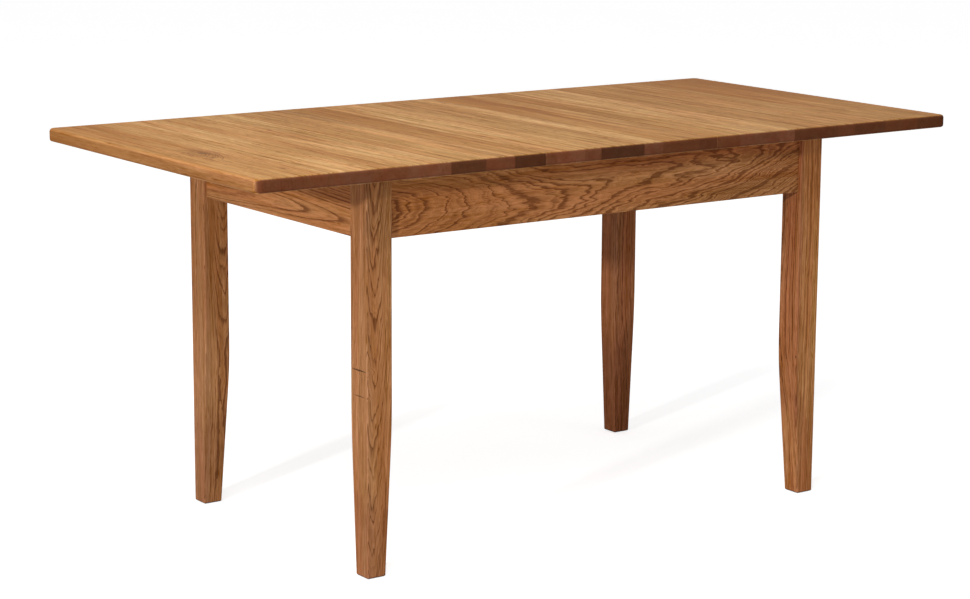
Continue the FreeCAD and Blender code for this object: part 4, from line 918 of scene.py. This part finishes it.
def floor_material(name, stage):
    """Pale matt floor that the camera sees near white, with the object's shadow, and not from below."""
    material, w, shader = new_material(name)
    place = w.node("ShaderNodeTexCoord").outputs["Object"]
    mottle = w.noise(place, scale=1.5, detail=2.0).outputs["Fac"]
    w.fill(shader.inputs["Base Color"],
           w.scale(four(stage.floor_colour), w.spread(mottle, 0.3, 0.7, 0.99, 1.01)))
    shader.inputs["Roughness"].default_value = 0.9
    shader.inputs["Specular IOR Level"].default_value = 0.1
    seen = w.node("ShaderNodeLightPath").outputs["Is Camera Ray"]
    lift = w.node("ShaderNodeEmission", {"Color": WHITE, "Strength": w.math("MULTIPLY", seen, FLOOR_LIFT)})
    lit = w.node("ShaderNodeAddShader", {0: shader.outputs[0], 1: lift.outputs[0]})
    below = w.math("MULTIPLY", seen, w.node("ShaderNodeNewGeometry").outputs["Backfacing"])
    clear = w.node("ShaderNodeBsdfTransparent").outputs[0]
    shown = w.node("ShaderNodeMixShader", {0: below, 1: lit.outputs[0], 2: clear})
    w.fill(w.tree.nodes["Material Output"].inputs["Surface"], shown.outputs[0])
    return material


def add_world(stage):
    """Even light from all round, and plain white where the camera or a reflection sees past the floor."""
    world = bpy.data.worlds.new("Studio")
    world.use_nodes = True
    w = Wiring(world.node_tree)
    background = world.node_tree.nodes["Background"]
    path = w.node("ShaderNodeLightPath").outputs
    seen = w.math("MAXIMUM", path["Is Camera Ray"], path["Is Glossy Ray"])
    seen = w.math("MAXIMUM", seen, path["Is Transmission Ray"])
    w.fill(background.inputs["Strength"], w.spread(seen, 0.0, 1.0, stage.world, 1.0))
    background.inputs["Color"].default_value = WHITE
    bpy.context.scene.world = world


def add_lamp(name, place, aim, side, power):
    """A square area lamp at place that faces aim."""
    data = bpy.data.lights.new(name, "AREA")
    data.shape = "SQUARE"
    data.size = side
    data.energy = power
    lamp = bpy.data.objects.new(name, data)
    bpy.context.scene.collection.objects.link(lamp)
    direction = Vector(aim) - Vector(place)
    lamp.location = place
    lamp.rotation_euler = direction.to_track_quat("-Z", "Y").to_euler()


def add_camera(stage):
    """A camera without shift, from its place, heading, pitch and roll."""
    data = bpy.data.cameras.new("Camera")
    data.sensor_width = 36.0
    data.lens = stage.lens
    camera = bpy.data.objects.new("Camera", data)
    bpy.context.scene.collection.objects.link(camera)
    heading = Matrix.Rotation(-stage.camera_heading, 4, "Z")
    pitch = Matrix.Rotation(math.pi / 2 - stage.camera_pitch, 4, "X")
    roll = Matrix.Rotation(stage.camera_roll, 4, "Z")
    camera.matrix_world = Matrix.Translation(stage.camera_place) @ heading @ pitch @ roll
    bpy.context.scene.camera = camera


class TABLE_OT_stage(bpy.types.Operator):
    """Add the pale floor, the soft lamps and the camera."""

    bl_idname = "table.stage"
    bl_label = "Floor, Lamps and Camera"

    def execute(self, context):
        stage = context.scene.table_stage
        half = stage.floor_size / 2
        mesh = bpy.data.meshes.new("floor")
        corners = [(-half, -half, 0), (half, -half, 0), (half, half, 0), (-half, half, 0)]
        mesh.from_pydata(corners, [], [(0, 1, 2, 3)])
        mesh.materials.append(floor_material("Pale Floor", stage))
        floor = bpy.data.objects.new("floor", mesh)
        context.scene.collection.objects.link(floor)
        add_world(stage)
        for name, place, aim, side, share in LAMPS:
            add_lamp(name, place, aim, side, share * stage.key)
        add_camera(stage)
        context.scene.view_settings.view_transform = "Standard"
        return {"FINISHED"}


class TABLE_PT_build(bpy.types.Panel):
    """Lists the steps that finish the table."""

    bl_label = "Extending Table"
    bl_idname = "TABLE_PT_build"
    bl_space_type = "VIEW_3D"
    bl_region_type = "UI"
    bl_category = "Table"

    def draw(self, context):
        for step in STEPS:
            self.layout.operator(step.bl_idname)
        scene = context.scene
        for group in (scene.table_oak, scene.table_inner, scene.table_fastener, scene.table_stage):
            for name in group.__annotations__:
                self.layout.prop(group, name)


STEPS = (TABLE_OT_top, TABLE_OT_legs, TABLE_OT_aprons, TABLE_OT_inner_wood, TABLE_OT_fittings,
         TABLE_OT_screws, TABLE_OT_glides, TABLE_OT_stage)
CLASSES = (OakSettings, InnerSettings, FastenerSettings, StageSettings, *STEPS, TABLE_PT_build)


def register():
    """Register the classes and give the scene its settings."""
    for cls in CLASSES:
        bpy.utils.register_class(cls)
    bpy.types.Scene.table_oak = PointerProperty(type=OakSettings)
    bpy.types.Scene.table_inner = PointerProperty(type=InnerSettings)
    bpy.types.Scene.table_fastener = PointerProperty(type=FastenerSettings)
    bpy.types.Scene.table_stage = PointerProperty(type=StageSettings)


def unregister():
    """Undo register."""
    del bpy.types.Scene.table_stage
    del bpy.types.Scene.table_fastener
    del bpy.types.Scene.table_inner
    del bpy.types.Scene.table_oak
    for cls in reversed(CLASSES):
        bpy.utils.unregister_class(cls)


def main():
    """Run every step in order."""
    register()
    bpy.ops.table.top()
    bpy.ops.table.legs()
    bpy.ops.table.aprons()
    bpy.ops.table.inner_wood()
    bpy.ops.table.fittings()
    bpy.ops.table.screws()
    bpy.ops.table.glides()
    bpy.ops.table.stage()


if __name__ == "__main__":
    main()
